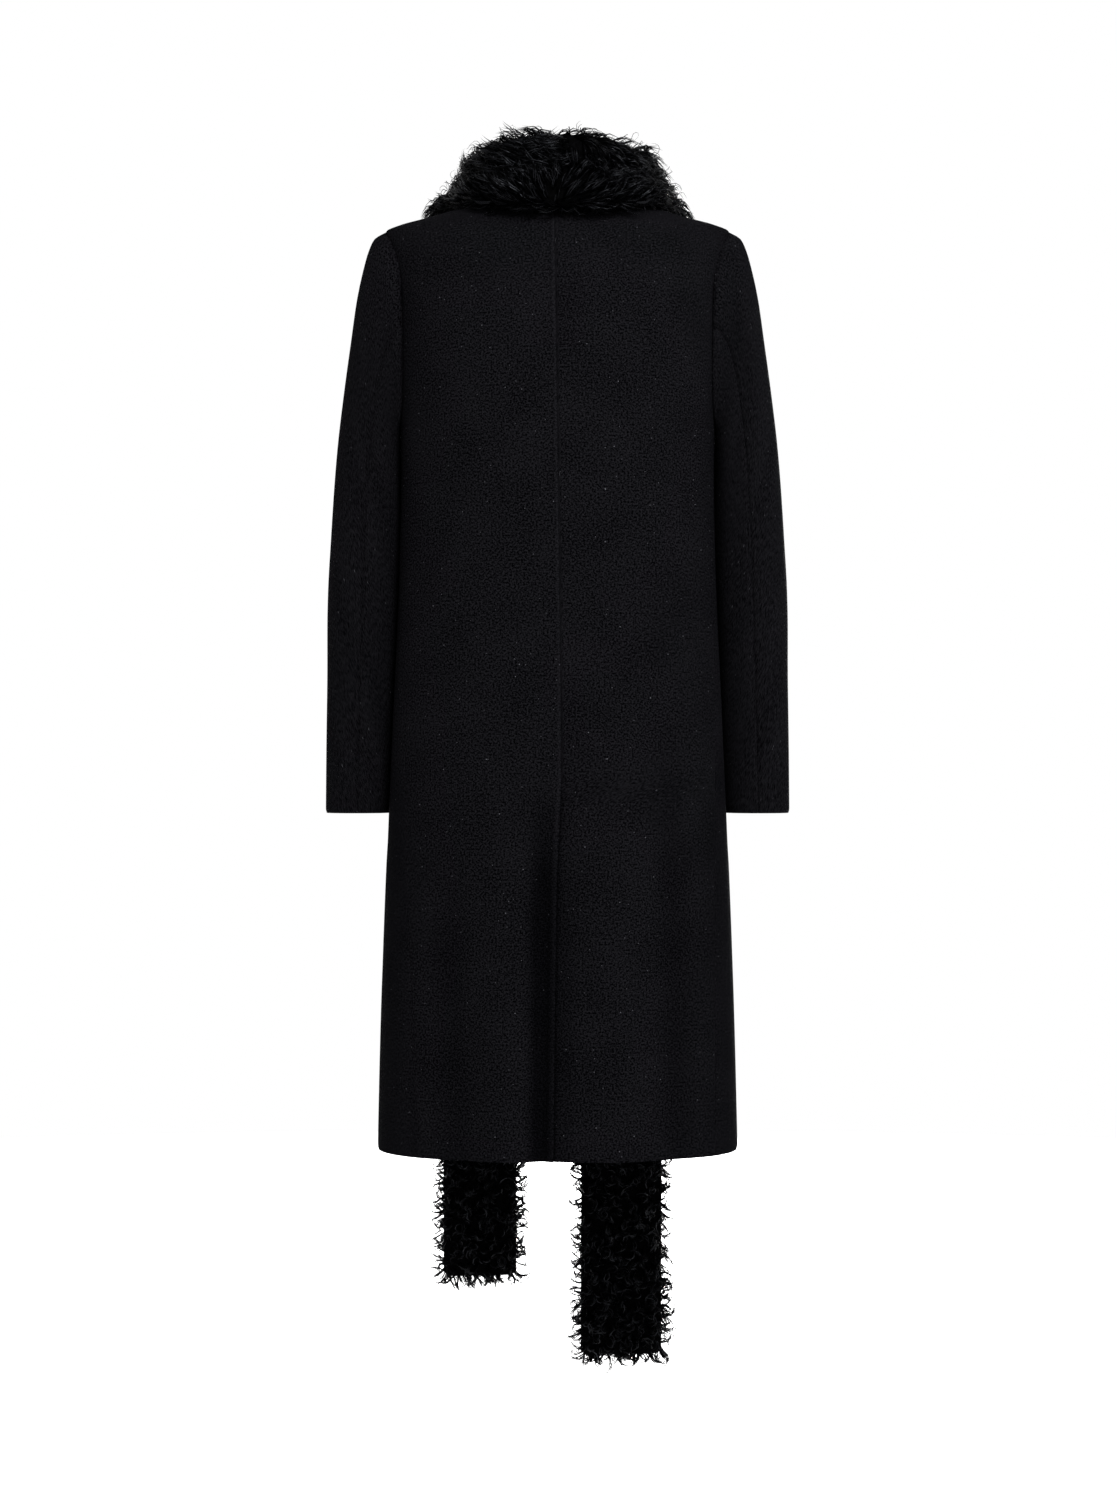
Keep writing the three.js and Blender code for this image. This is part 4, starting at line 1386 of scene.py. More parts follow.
@dataclass(frozen=True)
class LockRecipe:
    """A family of small locks, each a bundle of tapered hairs that run side by side.

    Args:
        style: How the hairs lie.
        hairs: Hairs in a lock.
        steps: Straight steps along a hair.
        length: A hair's length.
        turn: Degrees that it bends through.
        tilt: Least and most lean of the curl out of the skin, in degrees.
        stout: A hair's width at its thickest.
        spread: Space between two hairs.
        rise: How high the lock stands off the skin.
        variants: Different locks in the family.
    """

    style: LockStyle
    hairs: int
    steps: int
    length: float
    turn: float
    tilt: tuple[float, float]
    stout: float
    spread: float
    rise: float
    variants: int = 9

    def hair_path(self, rng: np.random.Generator, shape: dict[str, float], place: float) -> Points:
        """The middle line of one hair.

        Args:
            rng: The lock's source of variation.
            shape: The lock's own length, turn, tilt and hand.
            place: The hair's place in the lock, from -1 to 1.

        Returns:
            Points from the root to the tip, in millimetres. X is the way the hair lies.
        """
        t = np.linspace(0, 1, self.steps + 1)
        length = shape["length"] * (1 + rng.uniform(-0.14, 0.1))
        heading = np.radians(shape["turn"] * (1 + rng.uniform(-0.12, 0.12))) * t ** shape["bend"]
        heading = heading + rng.uniform(-0.12, 0.12) - np.radians(shape["turn"]) * shape["lead"]
        step = length / self.steps
        middle = (heading[:-1] + heading[1:]) / 2
        ahead = np.concatenate([[0], np.cumsum(np.cos(middle) * step)])
        aside = np.concatenate([[0], np.cumsum(np.sin(middle) * step)]) * shape["hand"]
        grow = place * self.spread * (self.hairs - 1) / 2
        aside = aside + grow * (0.35 + 0.65 * ease(t * 2))
        lean = np.radians(shape["tilt"])
        lift = self.rise * ease(t * 2.2) * (1 + 0.25 * rng.uniform(-1, 1))
        drop = 0.35 * self.rise * ease((t - 0.55) / 0.45)
        up = np.abs(aside) * np.sin(lean) + lift - drop - 1.6
        up = up + rng.uniform(-0.5, 0.5)
        return np.stack([ahead, aside * np.cos(lean), up], -1)

    def shape(self, rng: np.random.Generator) -> dict[str, float]:
        """One lock's own proportions.

        Args:
            rng: The family's random numbers.

        Returns:
            Values by name.
        """
        hand = 1.0 if rng.random() < 0.5 else -1.0
        loose = self.style is LockStyle.LOOSE
        return {
            "length": self.length * rng.uniform(0.82, 1.18),
            "turn": self.turn * rng.uniform(0.6, 1.3),
            "tilt": rng.uniform(*self.tilt),
            "hand": hand,
            "bend": 1.9 if loose else 1.15,
            "lead": 0.0 if self.style is LockStyle.CURLED else 0.25,
        }

    def lock(self, seed: int) -> tuple[Points, list[list[int]], Points]:
        """Build one lock.

        Args:
            seed: The lock's number.

        Returns:
            Its points in metres, its faces, and each point's shine, from 0 to 1.
        """
        rng = np.random.default_rng(seed)
        shape = self.shape(rng)
        places = np.linspace(-1, 1, self.hairs) if self.hairs > 1 else np.zeros(1)
        points, faces, shine = [], [], []
        start = 0
        for place in places:
            path = self.hair_path(rng, shape, float(place))
            stout = self.stout * rng.uniform(0.8, 1.15)
            part_points, part_faces = self.hair(path, stout)
            points.append(part_points)
            faces.extend([[v + start for v in face] for face in part_faces])
            along = np.append(np.repeat(np.linspace(0, 1, self.steps + 1)[:-1], 3), 1.0)
            # painted glint: lighter along a hair's middle, by a random amount for each hair
            shine.append(rng.random() ** 1.6 * (0.3 + 0.7 * np.sin(np.pi * along**0.8)))
            start += len(part_points)
        return np.concatenate(points) * MM, faces, np.concatenate(shine)

    def hair(self, path: Points, stout: float) -> tuple[Points, list[list[int]]]:
        """A three-sided hair along a path, thickest low down and pointed at the tip.

        Args:
            path: Points from root to tip.
            stout: Thickness.

        Returns:
            Its points and faces.
        """
        ways = unit(np.gradient(path, axis=0))
        side = unit(np.cross(ways, (0.02, 0.05, 1.0)))
        other = np.cross(ways, side)
        t = np.linspace(0, 1, len(path))
        radius = stout / 2 * (0.72 + 0.28 * np.sin(np.pi * np.clip(t * 1.4, 0, 1)))
        radius = radius * (1 - t**2.2 * 0.8)
        turns = np.radians((90, 210, 330))
        ring = np.cos(turns)[:, None, None] * side + np.sin(turns)[:, None, None] * other
        tube = path[None] + ring * radius[None, :, None]
        points = np.concatenate([tube.transpose(1, 0, 2)[:-1].reshape(-1, 3), path[-1:]])
        rows = len(path) - 1
        faces = [[0, 1, 2]]
        for r in range(rows - 1):
            for s in range(3):
                a, b = r * 3 + s, r * 3 + (s + 1) % 3
                faces.append([a, a + 3, b + 3, b])
        base = (rows - 1) * 3
        faces.extend([[base + s, rows * 3, base + (s + 1) % 3] for s in range(3)])
        return points, faces

    def family(self, name: str, first_seed: int) -> bpy.types.Collection:
        """Build the family's locks in a collection that isn't part of the scene.

        Args:
            name: The collection's name.
            first_seed: Seed of its first lock.

        Returns:
            The collection.
        """
        group = bpy.data.collections.new(name)
        for i in range(self.variants):
            points, faces, shine = self.lock(first_seed + i)
            piece = closed_piece(f"{name}_{i}", points, faces)
            layer = piece.data.attributes.new("shine", "FLOAT", "POINT")
            layer.data.foreach_set("value", shine.astype(np.float32))
            bpy.context.scene.collection.objects.unlink(piece)
            group.objects.link(piece)
        return group


@dataclass(frozen=True)
class Coverage:
    """How thickly a family of locks grows.

    Args:
        locks: The family.
        distance: Least distance between two roots, in metres.
        density: Most roots in a square metre.
        least: Least size.
        most: Most size.
        swing: Most turn away from the flow, in degrees.
        nod: Most lean up and down, in degrees.
        cover: The attribute that thins the growth out.
    """

    locks: bpy.types.Collection
    distance: float
    density: float
    least: float
    most: float
    swing: float
    nod: float
    cover: str


class FurGrowth:
    """Grows locks of hair on a skin, along its flow."""

    def __init__(self, name: str) -> None:
        """Build the node tree.

        Args:
            name: The tree's name.
        """
        self.tree = bpy.data.node_groups.new(name, "GeometryNodeTree")
        self.sockets: dict[str, str] = {}
        self.add_socket("Skin", "NodeSocketGeometry")
        self.add_socket("Locks", "NodeSocketCollection")
        for size in ("Least Distance", "Most Density", "Least Size", "Most Size", "Swing", "Nod"):
            self.add_socket(size, "NodeSocketFloat")
        self.add_socket("Cover Name", "NodeSocketString")
        self.add_socket("Variants", "NodeSocketInt")
        self.add_socket("Seed", "NodeSocketInt")
        self.add_socket("Finish", "NodeSocketMaterial")
        self.tree.interface.new_socket("Hair", in_out="OUTPUT", socket_type="NodeSocketGeometry")
        self.wire()

    def add_socket(self, name: str, kind: str) -> None:
        """Add one input to the tree and keep its identifier."""
        socket = self.tree.interface.new_socket(name, in_out="INPUT", socket_type=kind)
        self.sockets[name] = socket.identifier

    def node(self, kind: str, **settings: object) -> bpy.types.Node:
        """Add a node with its settings.

        Args:
            kind: Blender's name of its type.
            **settings: Its own properties.

        Returns:
            The node.
        """
        made = self.tree.nodes.new(kind)
        for key, value in settings.items():
            setattr(made, key, value)
        return made

    def random(self, kind: str, low: object, high: object, seed: int) -> bpy.types.Node:
        """Add a Random Value node.

        Args:
            kind: FLOAT, INT or FLOAT_VECTOR.
            low: The least value, or the socket that gives it.
            high: The most, or the socket that gives it.
            seed: A number added so that no two nodes agree.

        Returns:
            The node.
        """
        made = self.node("FunctionNodeRandomValue", data_type=kind)
        slots = {"FLOAT_VECTOR": (0, 1), "FLOAT": (2, 3), "INT": (4, 5)}[kind]
        for slot, value in zip(slots, (low, high)):
            if isinstance(value, Socket):
                self.tree.links.new(value, made.inputs[slot])
            else:
                made.inputs[slot].default_value = value
        shift = self.node("ShaderNodeMath", operation="ADD")
        shift.inputs[1].default_value = seed
        self.tree.links.new(self.given.outputs["Seed"], shift.inputs[0])
        self.tree.links.new(shift.outputs[0], made.inputs["Seed"])
        return made

    def spin(self, limit: Socket, axis: str, seed: int) -> Socket:
        """A random turn about one axis, up to a limit either way.

        Args:
            limit: The limit in radians.
            axis: X, Y or Z.
            seed: Random seed.

        Returns:
            The rotation's socket.
        """
        back = self.node("ShaderNodeMath", operation="MULTIPLY")
        back.inputs[1].default_value = -1.0
        self.tree.links.new(limit, back.inputs[0])
        amount = self.random("FLOAT", back.outputs[0], limit, seed)
        turn = self.node("ShaderNodeCombineXYZ")
        self.tree.links.new(amount.outputs[1], turn.inputs[axis])
        made = self.node("FunctionNodeEulerToRotation")
        self.tree.links.new(turn.outputs[0], made.inputs[0])
        return made.outputs[0]

    def wire(self) -> None:
        """Lay the tree out: scatter roots, turn a lock to the flow at each, and make them real."""
        link = self.tree.links.new
        self.given = self.node("NodeGroupInput")
        given = self.given.outputs
        cover = self.node("GeometryNodeInputNamedAttribute", data_type="FLOAT")
        link(given["Cover Name"], cover.inputs["Name"])
        roots = self.node("GeometryNodeDistributePointsOnFaces", distribute_method="POISSON")
        link(given["Skin"], roots.inputs["Mesh"])
        link(given["Least Distance"], roots.inputs["Distance Min"])
        link(given["Most Density"], roots.inputs["Density Max"])
        link(cover.outputs["Attribute"], roots.inputs["Density Factor"])
        link(given["Seed"], roots.inputs["Seed"])
        flow = self.node("GeometryNodeInputNamedAttribute", data_type="FLOAT_VECTOR")
        flow.inputs["Name"].default_value = "flow"
        stand = self.node("FunctionNodeAlignRotationToVector", axis="Z")
        link(roots.outputs["Normal"], stand.inputs["Vector"])
        lie = self.node("FunctionNodeAlignRotationToVector", axis="X", pivot_axis="Z")
        link(stand.outputs[0], lie.inputs["Rotation"])
        link(flow.outputs["Attribute"], lie.inputs["Vector"])
        turned = lie.outputs[0]
        for limit, axis, seed in (("Swing", "Z", 11), ("Nod", "Y", 23)):
            rotate = self.node("FunctionNodeRotateRotation", rotation_space="LOCAL")
            link(turned, rotate.inputs[0])
            link(self.spin(given[limit], axis, seed), rotate.inputs[1])
            turned = rotate.outputs[0]
        locks = self.node("GeometryNodeCollectionInfo")
        link(given["Locks"], locks.inputs["Collection"])
        locks.inputs["Separate Children"].default_value = True
        locks.inputs["Reset Children"].default_value = True
        last = self.node("ShaderNodeMath", operation="SUBTRACT")
        last.inputs[1].default_value = 1.0
        link(given["Variants"], last.inputs[0])
        which = self.random("INT", 0, last.outputs[0], 37)
        size = self.random("FLOAT", given["Least Size"], given["Most Size"], 53)
        grown = self.node("GeometryNodeInstanceOnPoints")
        link(roots.outputs["Points"], grown.inputs["Points"])
        link(locks.outputs[0], grown.inputs["Instance"])
        grown.inputs["Pick Instance"].default_value = True
        link(which.outputs[2], grown.inputs["Instance Index"])
        link(turned, grown.inputs["Rotation"])
        link(size.outputs[1], grown.inputs["Scale"])
        real = self.node("GeometryNodeRealizeInstances")
        link(grown.outputs[0], real.inputs[0])
        dressed = self.node("GeometryNodeSetMaterial")
        link(real.outputs[0], dressed.inputs["Geometry"])
        link(given["Finish"], dressed.inputs["Material"])
        out = self.node("NodeGroupOutput")
        link(dressed.outputs[0], out.inputs[0])

    def grow(
        self, skin: bpy.types.Object, coverage: Coverage, finish: bpy.types.Material, seed: int
    ) -> bpy.types.Mesh:
        """Grow one family of locks on a skin.

        Args:
            skin: The skin, which carries the attributes flow and the coverage's cover.
            coverage: The family and how thickly it grows.
            finish: The hair's material.
            seed: The growth's seed.

        Returns:
            A plain mesh of the hair.
        """
        modifier = skin.modifiers.new("growth", "NODES")
        modifier.node_group = self.tree
        values = {
            "Locks": coverage.locks,
            "Least Distance": coverage.distance,
            "Most Density": coverage.density,
            "Least Size": coverage.least,
            "Most Size": coverage.most,
            "Swing": math.radians(coverage.swing),
            "Nod": math.radians(coverage.nod),
            "Cover Name": coverage.cover,
            "Variants": len(coverage.locks.objects),
            "Seed": seed,
            "Finish": finish,
        }
        for name, value in values.items():
            modifier[self.sockets[name]] = value
        depsgraph = bpy.context.evaluated_depsgraph_get()
        mesh = bpy.data.meshes.new_from_object(skin.evaluated_get(depsgraph))
        skin.modifiers.remove(modifier)
        return mesh


class NodeSheet:
    """A material's nodes, with short ways to add and join them."""

    def __init__(self, name: str) -> None:
        """Make the material with a surface shader.

        Args:
            name: The material's name.
        """
        self.material = bpy.data.materials.new(name)
        self.material.use_nodes = True
        self.tree = self.material.node_tree
        self.tree.nodes.clear()
        self.out = self.tree.nodes.new("ShaderNodeOutputMaterial")
        self.shader = self.tree.nodes.new("ShaderNodeBsdfPrincipled")
        self.join(self.shader.outputs[0], self.out.inputs["Surface"])

    def join(self, start: Socket, end: Socket) -> None:
        """Link two sockets."""
        self.tree.links.new(start, end)

    def add(self, kind: str, inputs: dict[str, object] | None = None, **settings: object) -> bpy.types.Node:
        """Add a node.

        Args:
            kind: The node's type.
            inputs: Values or sockets for its inputs.
            **settings: Its own properties.

        Returns:
            The node.
        """
        made = self.tree.nodes.new(kind)
        for key, value in settings.items():
            setattr(made, key, value)
        for key, value in (inputs or {}).items():
            slot = made.inputs[int(key)] if key.isdigit() else made.inputs[key]
            if isinstance(value, Socket):
                self.join(value, slot)
            else:
                slot.default_value = value
        return made

    def math(self, operation: str, first: object, second: object = 0.0) -> Socket:
        """One calculation with two values."""
        made = self.add("ShaderNodeMath", {"0": first, "1": second}, operation=operation)
        return made.outputs[0]

    def ramp(
        self, value: Socket, low: float, high: float, to: tuple[float, float] = (0.0, 1.0)
    ) -> Socket:
        """A value that rises from its least to its most between two limits of another."""
        inputs = {"Value": value, "From Min": low, "From Max": high, "To Min": to[0], "To Max": to[1]}
        return self.add("ShaderNodeMapRange", inputs).outputs[0]

    def blend(self, share: object, first: object, second: object) -> Socket:
        """A mix of two colours, with the second's share given first."""
        inputs = {"0": share, "6": first, "7": second}
        return self.add("ShaderNodeMix", inputs, data_type="RGBA").outputs[2]

    def noise(self, vector: Socket, scale: float, detail: float = 2.0) -> Socket:
        """A noise value."""
        inputs = {"Vector": vector, "Scale": scale, "Detail": detail}
        return self.add("ShaderNodeTexNoise", inputs).outputs[0]


@dataclass(frozen=True)
class WoolFinish:
    """Double-faced black wool: a felted nap over a fine twill, with a little lint, painted shade in its
    hollows and a painted highlight on the centre seam's ridge.
    """

    name: str = "black_wool"
    dark: Colour = (0.0001, 0.0001, 0.0002, 1)
    light: Colour = (0.0044, 0.0043, 0.0051, 1)
    # colour of the painted highlight on the centre seam's ridge
    worn: Colour = (0.0065, 0.0064, 0.0076, 1)
    lint: Colour = (0.05, 0.05, 0.056, 1)
    sheen: float = 0.001
    specular: float = 0.004
    # how far the painted highlight on the ridge and the painted shade go towards their colours
    rub: float = 0.22
    trough: float = 0.7
    nap_scale: float = 500.0
    twill_scale: float = 300.0
    twill_turn: float = 63.0
    # shares of nap, fibre, twill and patches in the grain, and the grain's darkest and lightest
    shares: Row = (0.5, 0.28, 0.08, 0.08)
    grain: tuple[float, float] = (0.42, 0.535)
    # lint: cells to a metre, a speck's share of its cell, share of cells that hold one
    specks: Sequence[Row] = ((85.0, 0.06, 0.495), (170.0, 0.085, 0.275))

    def material(self) -> bpy.types.Material:
        """Build the cloth's material on its cut map, in metres.

        Returns:
            The material.
        """
        sheet = NodeSheet(self.name)
        cut = sheet.add("ShaderNodeUVMap", uv_map="cut").outputs[0]
        nap = sheet.noise(cut, self.nap_scale, 1.0)
        fibre = sheet.noise(cut, self.nap_scale * 2.2, 1.0)
        patch = sheet.noise(cut, 16.0, 3.0)
        turn = (0, 0, math.radians(self.twill_turn))
        turned = sheet.add("ShaderNodeMapping", {"Vector": cut, "Rotation": turn})
        wave = {"Vector": turned.outputs[0], "Scale": self.twill_scale}
        wave |= {"Distortion": 2.2, "Detail": 2.0, "Detail Scale": 1.4}
        twill = sheet.add("ShaderNodeTexWave", wave).outputs[1]
        grain = sheet.math("MULTIPLY", nap, self.shares[0])
        for part, share in zip((fibre, twill, patch), self.shares[1:]):
            grain = sheet.math("ADD", grain, sheet.math("MULTIPLY", part, share))
        tone = sheet.ramp(grain, *self.grain)
        base = sheet.blend(tone, self.dark, self.light)
        for scale, size, keep in self.specks:
            cells = sheet.add("ShaderNodeTexVoronoi", {"Vector": cut, "Scale": scale})
            near = sheet.ramp(cells.outputs["Distance"], size, size * 0.45)
            chosen = sheet.math("LESS_THAN", cells.outputs["Color"], keep)
            base = sheet.blend(sheet.math("MULTIPLY", near, chosen), base, self.lint)
        # painted highlight on the seam's ridge, then painted shade towards the darkest colour
        worn = sheet.add("ShaderNodeAttribute", attribute_name="worn").outputs["Fac"]
        base = sheet.blend(sheet.math("MULTIPLY", worn, self.rub), base, self.worn)
        sunk = sheet.add("ShaderNodeAttribute", attribute_name="sunk").outputs["Fac"]
        base = sheet.blend(sheet.math("MULTIPLY", sunk, self.trough), base, self.dark)
        sheet.join(base, sheet.shader.inputs["Base Color"])
        rough = sheet.ramp(nap, 0.0, 1.0, (0.88, 1.0))
        sheet.join(rough, sheet.shader.inputs["Roughness"])
        sheet.shader.inputs["Specular IOR Level"].default_value = self.specular
        sheet.shader.inputs["Sheen Weight"].default_value = self.sheen
        sheet.shader.inputs["Sheen Roughness"].default_value = 0.6
        sheet.shader.inputs["Sheen Tint"].default_value = (0.72, 0.76, 1.0, 1)
        height = sheet.math("ADD", sheet.math("MULTIPLY", nap, 0.6), sheet.math("MULTIPLY", twill, 0.25))
        height = sheet.math("ADD", height, sheet.math("MULTIPLY", fibre, 0.3))
        bump = sheet.add("ShaderNodeBump", {"Height": height, "Strength": 0.7, "Distance": 0.0009})
        sheet.join(bump.outputs[0], sheet.shader.inputs["Normal"])
        return sheet.material


@dataclass(frozen=True)
class FurFinish:
    """Glossy black curled shearling hair, with painted glints along the hairs' middles."""

    name: str = "black_shearling"
    dark: Colour = (0.00003, 0.00003, 0.00005, 1)
    light: Colour = (0.0011, 0.0011, 0.0015, 1)
    roughness: tuple[float, float] = (0.2, 0.4)
    specular: tuple[float, float] = (0.01, 0.17)
    tuft_scale: float = 90.0
    tones: tuple[float, float] = (0.34, 0.72)
    shines: tuple[float, float] = (0.34, 0.7)

    def material(self) -> bpy.types.Material:
        """Build the hair's material.

        Returns:
            The material.
        """
        sheet = NodeSheet(self.name)
        place = sheet.add("ShaderNodeTexCoord").outputs["Object"]
        tuft = sheet.noise(place, self.tuft_scale, 2.0)
        # base colour lighter where each hair's painted glint is, and glossier there
        hair = sheet.add("ShaderNodeAttribute", attribute_name="shine").outputs["Fac"]
        tone = sheet.math("ADD", sheet.math("MULTIPLY", tuft, 0.5), sheet.math("MULTIPLY", hair, 0.5))
        base = sheet.blend(sheet.ramp(tone, *self.tones), self.dark, self.light)
        sheet.join(base, sheet.shader.inputs["Base Color"])
        rough = sheet.ramp(tuft, 0.3, 0.7, self.roughness)
        sheet.join(rough, sheet.shader.inputs["Roughness"])
        shine = sheet.ramp(tone, *self.shines, self.specular)
        sheet.join(shine, sheet.shader.inputs["Specular IOR Level"])
        sheet.shader.inputs["Specular Tint"].default_value = (0.86, 0.9, 1.0, 1)
        return sheet.material


@dataclass(frozen=True)
class HideFinish:
    """The dark hide and underwool between the locks."""

    name: str = "black_hide"
    dark: Colour = (0.00005, 0.00005, 0.00006, 1)
    light: Colour = (0.0004, 0.0004, 0.0005, 1)

    def material(self) -> bpy.types.Material:
        """Build the hide's material.

        Returns:
            The material.
        """
        sheet = NodeSheet(self.name)
        place = sheet.add("ShaderNodeTexCoord").outputs["Object"]
        wool = sheet.noise(place, 260.0, 3.0)
        base = sheet.blend(sheet.ramp(wool, 0.35, 0.65), self.dark, self.light)
        sheet.join(base, sheet.shader.inputs["Base Color"])
        sheet.shader.inputs["Roughness"].default_value = 0.9
        sheet.shader.inputs["Specular IOR Level"].default_value = 0.01
        bump = sheet.add("ShaderNodeBump", {"Height": wool, "Strength": 0.8, "Distance": 0.002})
        sheet.join(bump.outputs[0], sheet.shader.inputs["Normal"])
        return sheet.material


@dataclass
class CoatCloth:
    """The eight sewn pieces of wool."""

    form: CoatForm
    finish: WoolFinish = field(default_factory=WoolFinish)

    def panels(self) -> Iterable[tuple[str, BackPanel | FrontPanel | SleevePanel]]:
        """Each node's name with the panel that replaces it.

        Returns:
            Pairs of name and panel.
        """
        for side in Side:
            yield f"back_{side.word}", BackPanel(self.form, side)
            yield f"front_{side.word}", FrontPanel(self.form, side)
            for part in SleevePart:
                yield f"sleeve_{part.value}_{side.word}", SleevePanel(self.form, side, part)

    def build(self) -> list[bpy.types.Object]:
        """Make every piece, hide the part that it stands for, and log its faces.

        Returns:
            The pieces.
        """
        wool = self.finish.material()
        made = []
        for node, panel in self.panels():
            piece = panel.build()
            piece.data.materials.append(wool)
            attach(piece, "root")
            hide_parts(node)
            panel.cut
            panel.area
            LOG.info("%s: %d faces", piece.name, len(piece.data.polygons))
            made.append(piece)
        return made


@dataclass
class FurTrim:
    """The shearling collar and its two hanging ends."""

    form: FurForm
    finish: FurFinish = field(default_factory=FurFinish)
    hide: HideFinish = field(default_factory=HideFinish)
    # metres: height at which an end's hair is split in two, height below which it hangs free
    split_z: float = -0.72
    free_z: float = -1.0
    # width, lowest height, degrees turned
    left_end: Row = (95, -1187, 9)
    right_end: Row = (104, -1277, -7)
    # the collar's parting, in metres: middle, sway, rate and phase of the sway, softness
    parting: Row = (-0.012, 0.02, 78.0, 1.2, 0.024)
    # metres: height from which the hair rises, and below which it lies along the edge
    rise_z: float = 0.066
    edge_z: float = 0.045
    # metres: where the low ends begin, across and in height
    low_end_x: float = 0.1
    low_end_z: float = 0.032

    def recipes(self) -> dict[str, bpy.types.Collection]:
        """The families of locks.

        Returns:
            Collections by name.
        """
        # hairs, steps, length, turn, tilt, stout, spread, rise
        swept = LockRecipe(LockStyle.SWEPT, 4, 4, 26, 34, (10, 50), 1.3, 1.5, 6.5)
        curled = LockRecipe(LockStyle.CURLED, 4, 5, 24, 220, (8, 50), 1.5, 1.55, 5.6)
        loose = LockRecipe(LockStyle.LOOSE, 1, 8, 22, 210, (10, 60), 0.62, 1.0, 11.0)
        strands = LockRecipe(LockStyle.LOOSE, 2, 5, 22, 60, (10, 60), 0.8, 1.6, 10.0)
        return {
            "swept": swept.family("swept_lock", 100),
            "curled": curled.family("curled_lock", 300),
            "loose": loose.family("loose_hook", 500),
            "strands": strands.family("loose_hair", 700),
        }

    def collar_flow(self, points: Points, normals: Points) -> Points:
        """Hair lies round the collar, rises at its top and slants down on the wearer's right.

        Args:
            points: Places on the skin, in metres.
            normals: Their outward directions.

        Returns:
            Directions, one for each point.
        """
        x, y, z = points.T
        around = np.stack([-normals[:, 1], normals[:, 0], np.zeros_like(x)], -1)
        around = unit(around + 1e-6)
        swirl = np.sin(x * 410 + 2 * np.sin(z * 260)) * np.sin(z * 330 + x * 150 + 1)
        middle, sway, rate, phase, soft = self.parting
        side = np.clip((middle + sway * np.sin(z * rate + phase) - x) / soft + 0.8 * swirl, -1, 1)
        flow = around * side[:, None]
        flow[:, 2] -= 0.4 * (1 - np.abs(side))
        top = ease((z - self.rise_z) / 0.02)
        low = ease((self.edge_z - z) / 0.03)
        back = ease((0.12 - np.abs(x)) / 0.03) * (y > 0)
        right = ease((-x - 0.015) / 0.03) * (y > 0)
        flow[:, 2] += 1.15 * top - right * (0.75 - 0.6 * top) * (1 - low)
        flow[:, 2] += (1.1 * back - 0.25) * low
        flow[:, 0] += -0.25 * right * top
        front = y < -0.03
        flow[front, 2] -= 1.4
        return unit(flow)

    def low_ends(self, points: Points) -> Points:
        """How far each point lies low on the collar's sides, where its hair thins out.

        Args:
            points: Places on the skin, in metres.

        Returns:
            Values from 0 to 1.
        """
        x, y, z = points.T
        out = ease((np.abs(x) - self.low_end_x) / 0.02)
        return out * ease((self.low_end_z - z) / 0.02) * (y > -0.04)

    def collar_cover(self, points: Points, normals: Points) -> Points:
        """Hair everywhere but on the underside that lies on the coat.

        Args:
            points: Places on the skin, in metres.
            normals: Their outward directions.

        Returns:
            Shares of hair, one for each point.
        """
        inner = normals[:, 1] * points[:, 1] + normals[:, 0] * points[:, 0] < 0
        cover = np.where(inner, 0.55, 1.0)
        underside = (normals[:, 2] < -0.8) & inner
        return np.where(underside, 0.8, cover)

    def edge_cover(self, points: Points, normals: Points) -> Points:
        """Loose hairs at the collar's top and ends, most above the wearer's right.

        Args:
            points: Places on the skin, in metres.
            normals: Their outward directions.

        Returns:
            Shares of hair, one for each point.
        """
        x, _, z = points.T
        top = ease((normals[:, 2] - 0.35) / 0.4)
        tuft = np.exp(-(((x + 0.036) / 0.024) ** 2)) * ease((z - 0.07) / 0.015)
        return np.clip(0.26 + 0.4 * top + 0.5 * tuft, 0, 1) * (1 - 0.9 * self.low_ends(points))

    def scarf_flow(self, points: Points, normals: Points) -> Points:
        """Hair hangs, and turns outwards at the edges.

        Args:
            points: Places on the skin, in metres.
            normals: Their outward directions.

        Returns:
            Directions, one for each point.
        """
        flow = np.zeros_like(points)
        flow[:, 2] = -1.0
        flow[:, 0] += 0.35 * np.sign(normals[:, 0]) * (np.abs(normals[:, 0]) > 0.5)
        return flow

    def scarf_cover(self, points: Points, normals: Points) -> Points:
        """Hair everywhere but where the fur lies on the coat.

        Args:
            points: Places on the skin, in metres.
            normals: Their outward directions.

        Returns:
            Shares of hair, one for each point.
        """
        on_coat = points[:, 2] > self.free_z
        behind = (normals[:, 1] > 0.35) & on_coat
        return np.where(behind, 0.0, np.where(on_coat, 0.72, 1.0))

    def hook_cover(self, points: Points, normals: Points) -> Points:
        """Loose hooks along the edges and the bottom.

        Args:
            points: Places on the skin, in metres.
            normals: Their outward directions.

        Returns:
            Shares of hair, one for each point.
        """
        side = np.abs(normals[:, 0]) > 0.55
        bottom = normals[:, 2] < -0.4
        cover = np.where(side | bottom, 1.0, 0.12)
        on_coat = points[:, 2] > self.free_z
        behind = (normals[:, 1] > 0.35) & on_coat
        right_inner = side & (normals[:, 0] > 0) & (points[:, 0] < 0) & (points[:, 2] > -1.24)
        cover = np.where(right_inner, 0.16, cover)
        return np.where(behind, 0.0, cover * np.where(on_coat, 0.6, 1.0))

    def build(self) -> list[bpy.types.Object]:
        """Make the skins and grow the hair on them.

        Returns:
            The pieces.
        """
        hair, hide = self.finish.material(), self.hide.material()
        locks = self.recipes()
        growth = FurGrowth("fur_growth")
        made = []
        collar = FurSkin("collar_hide", self.form.collar_sections(), inset=5.0, drop=8.0)
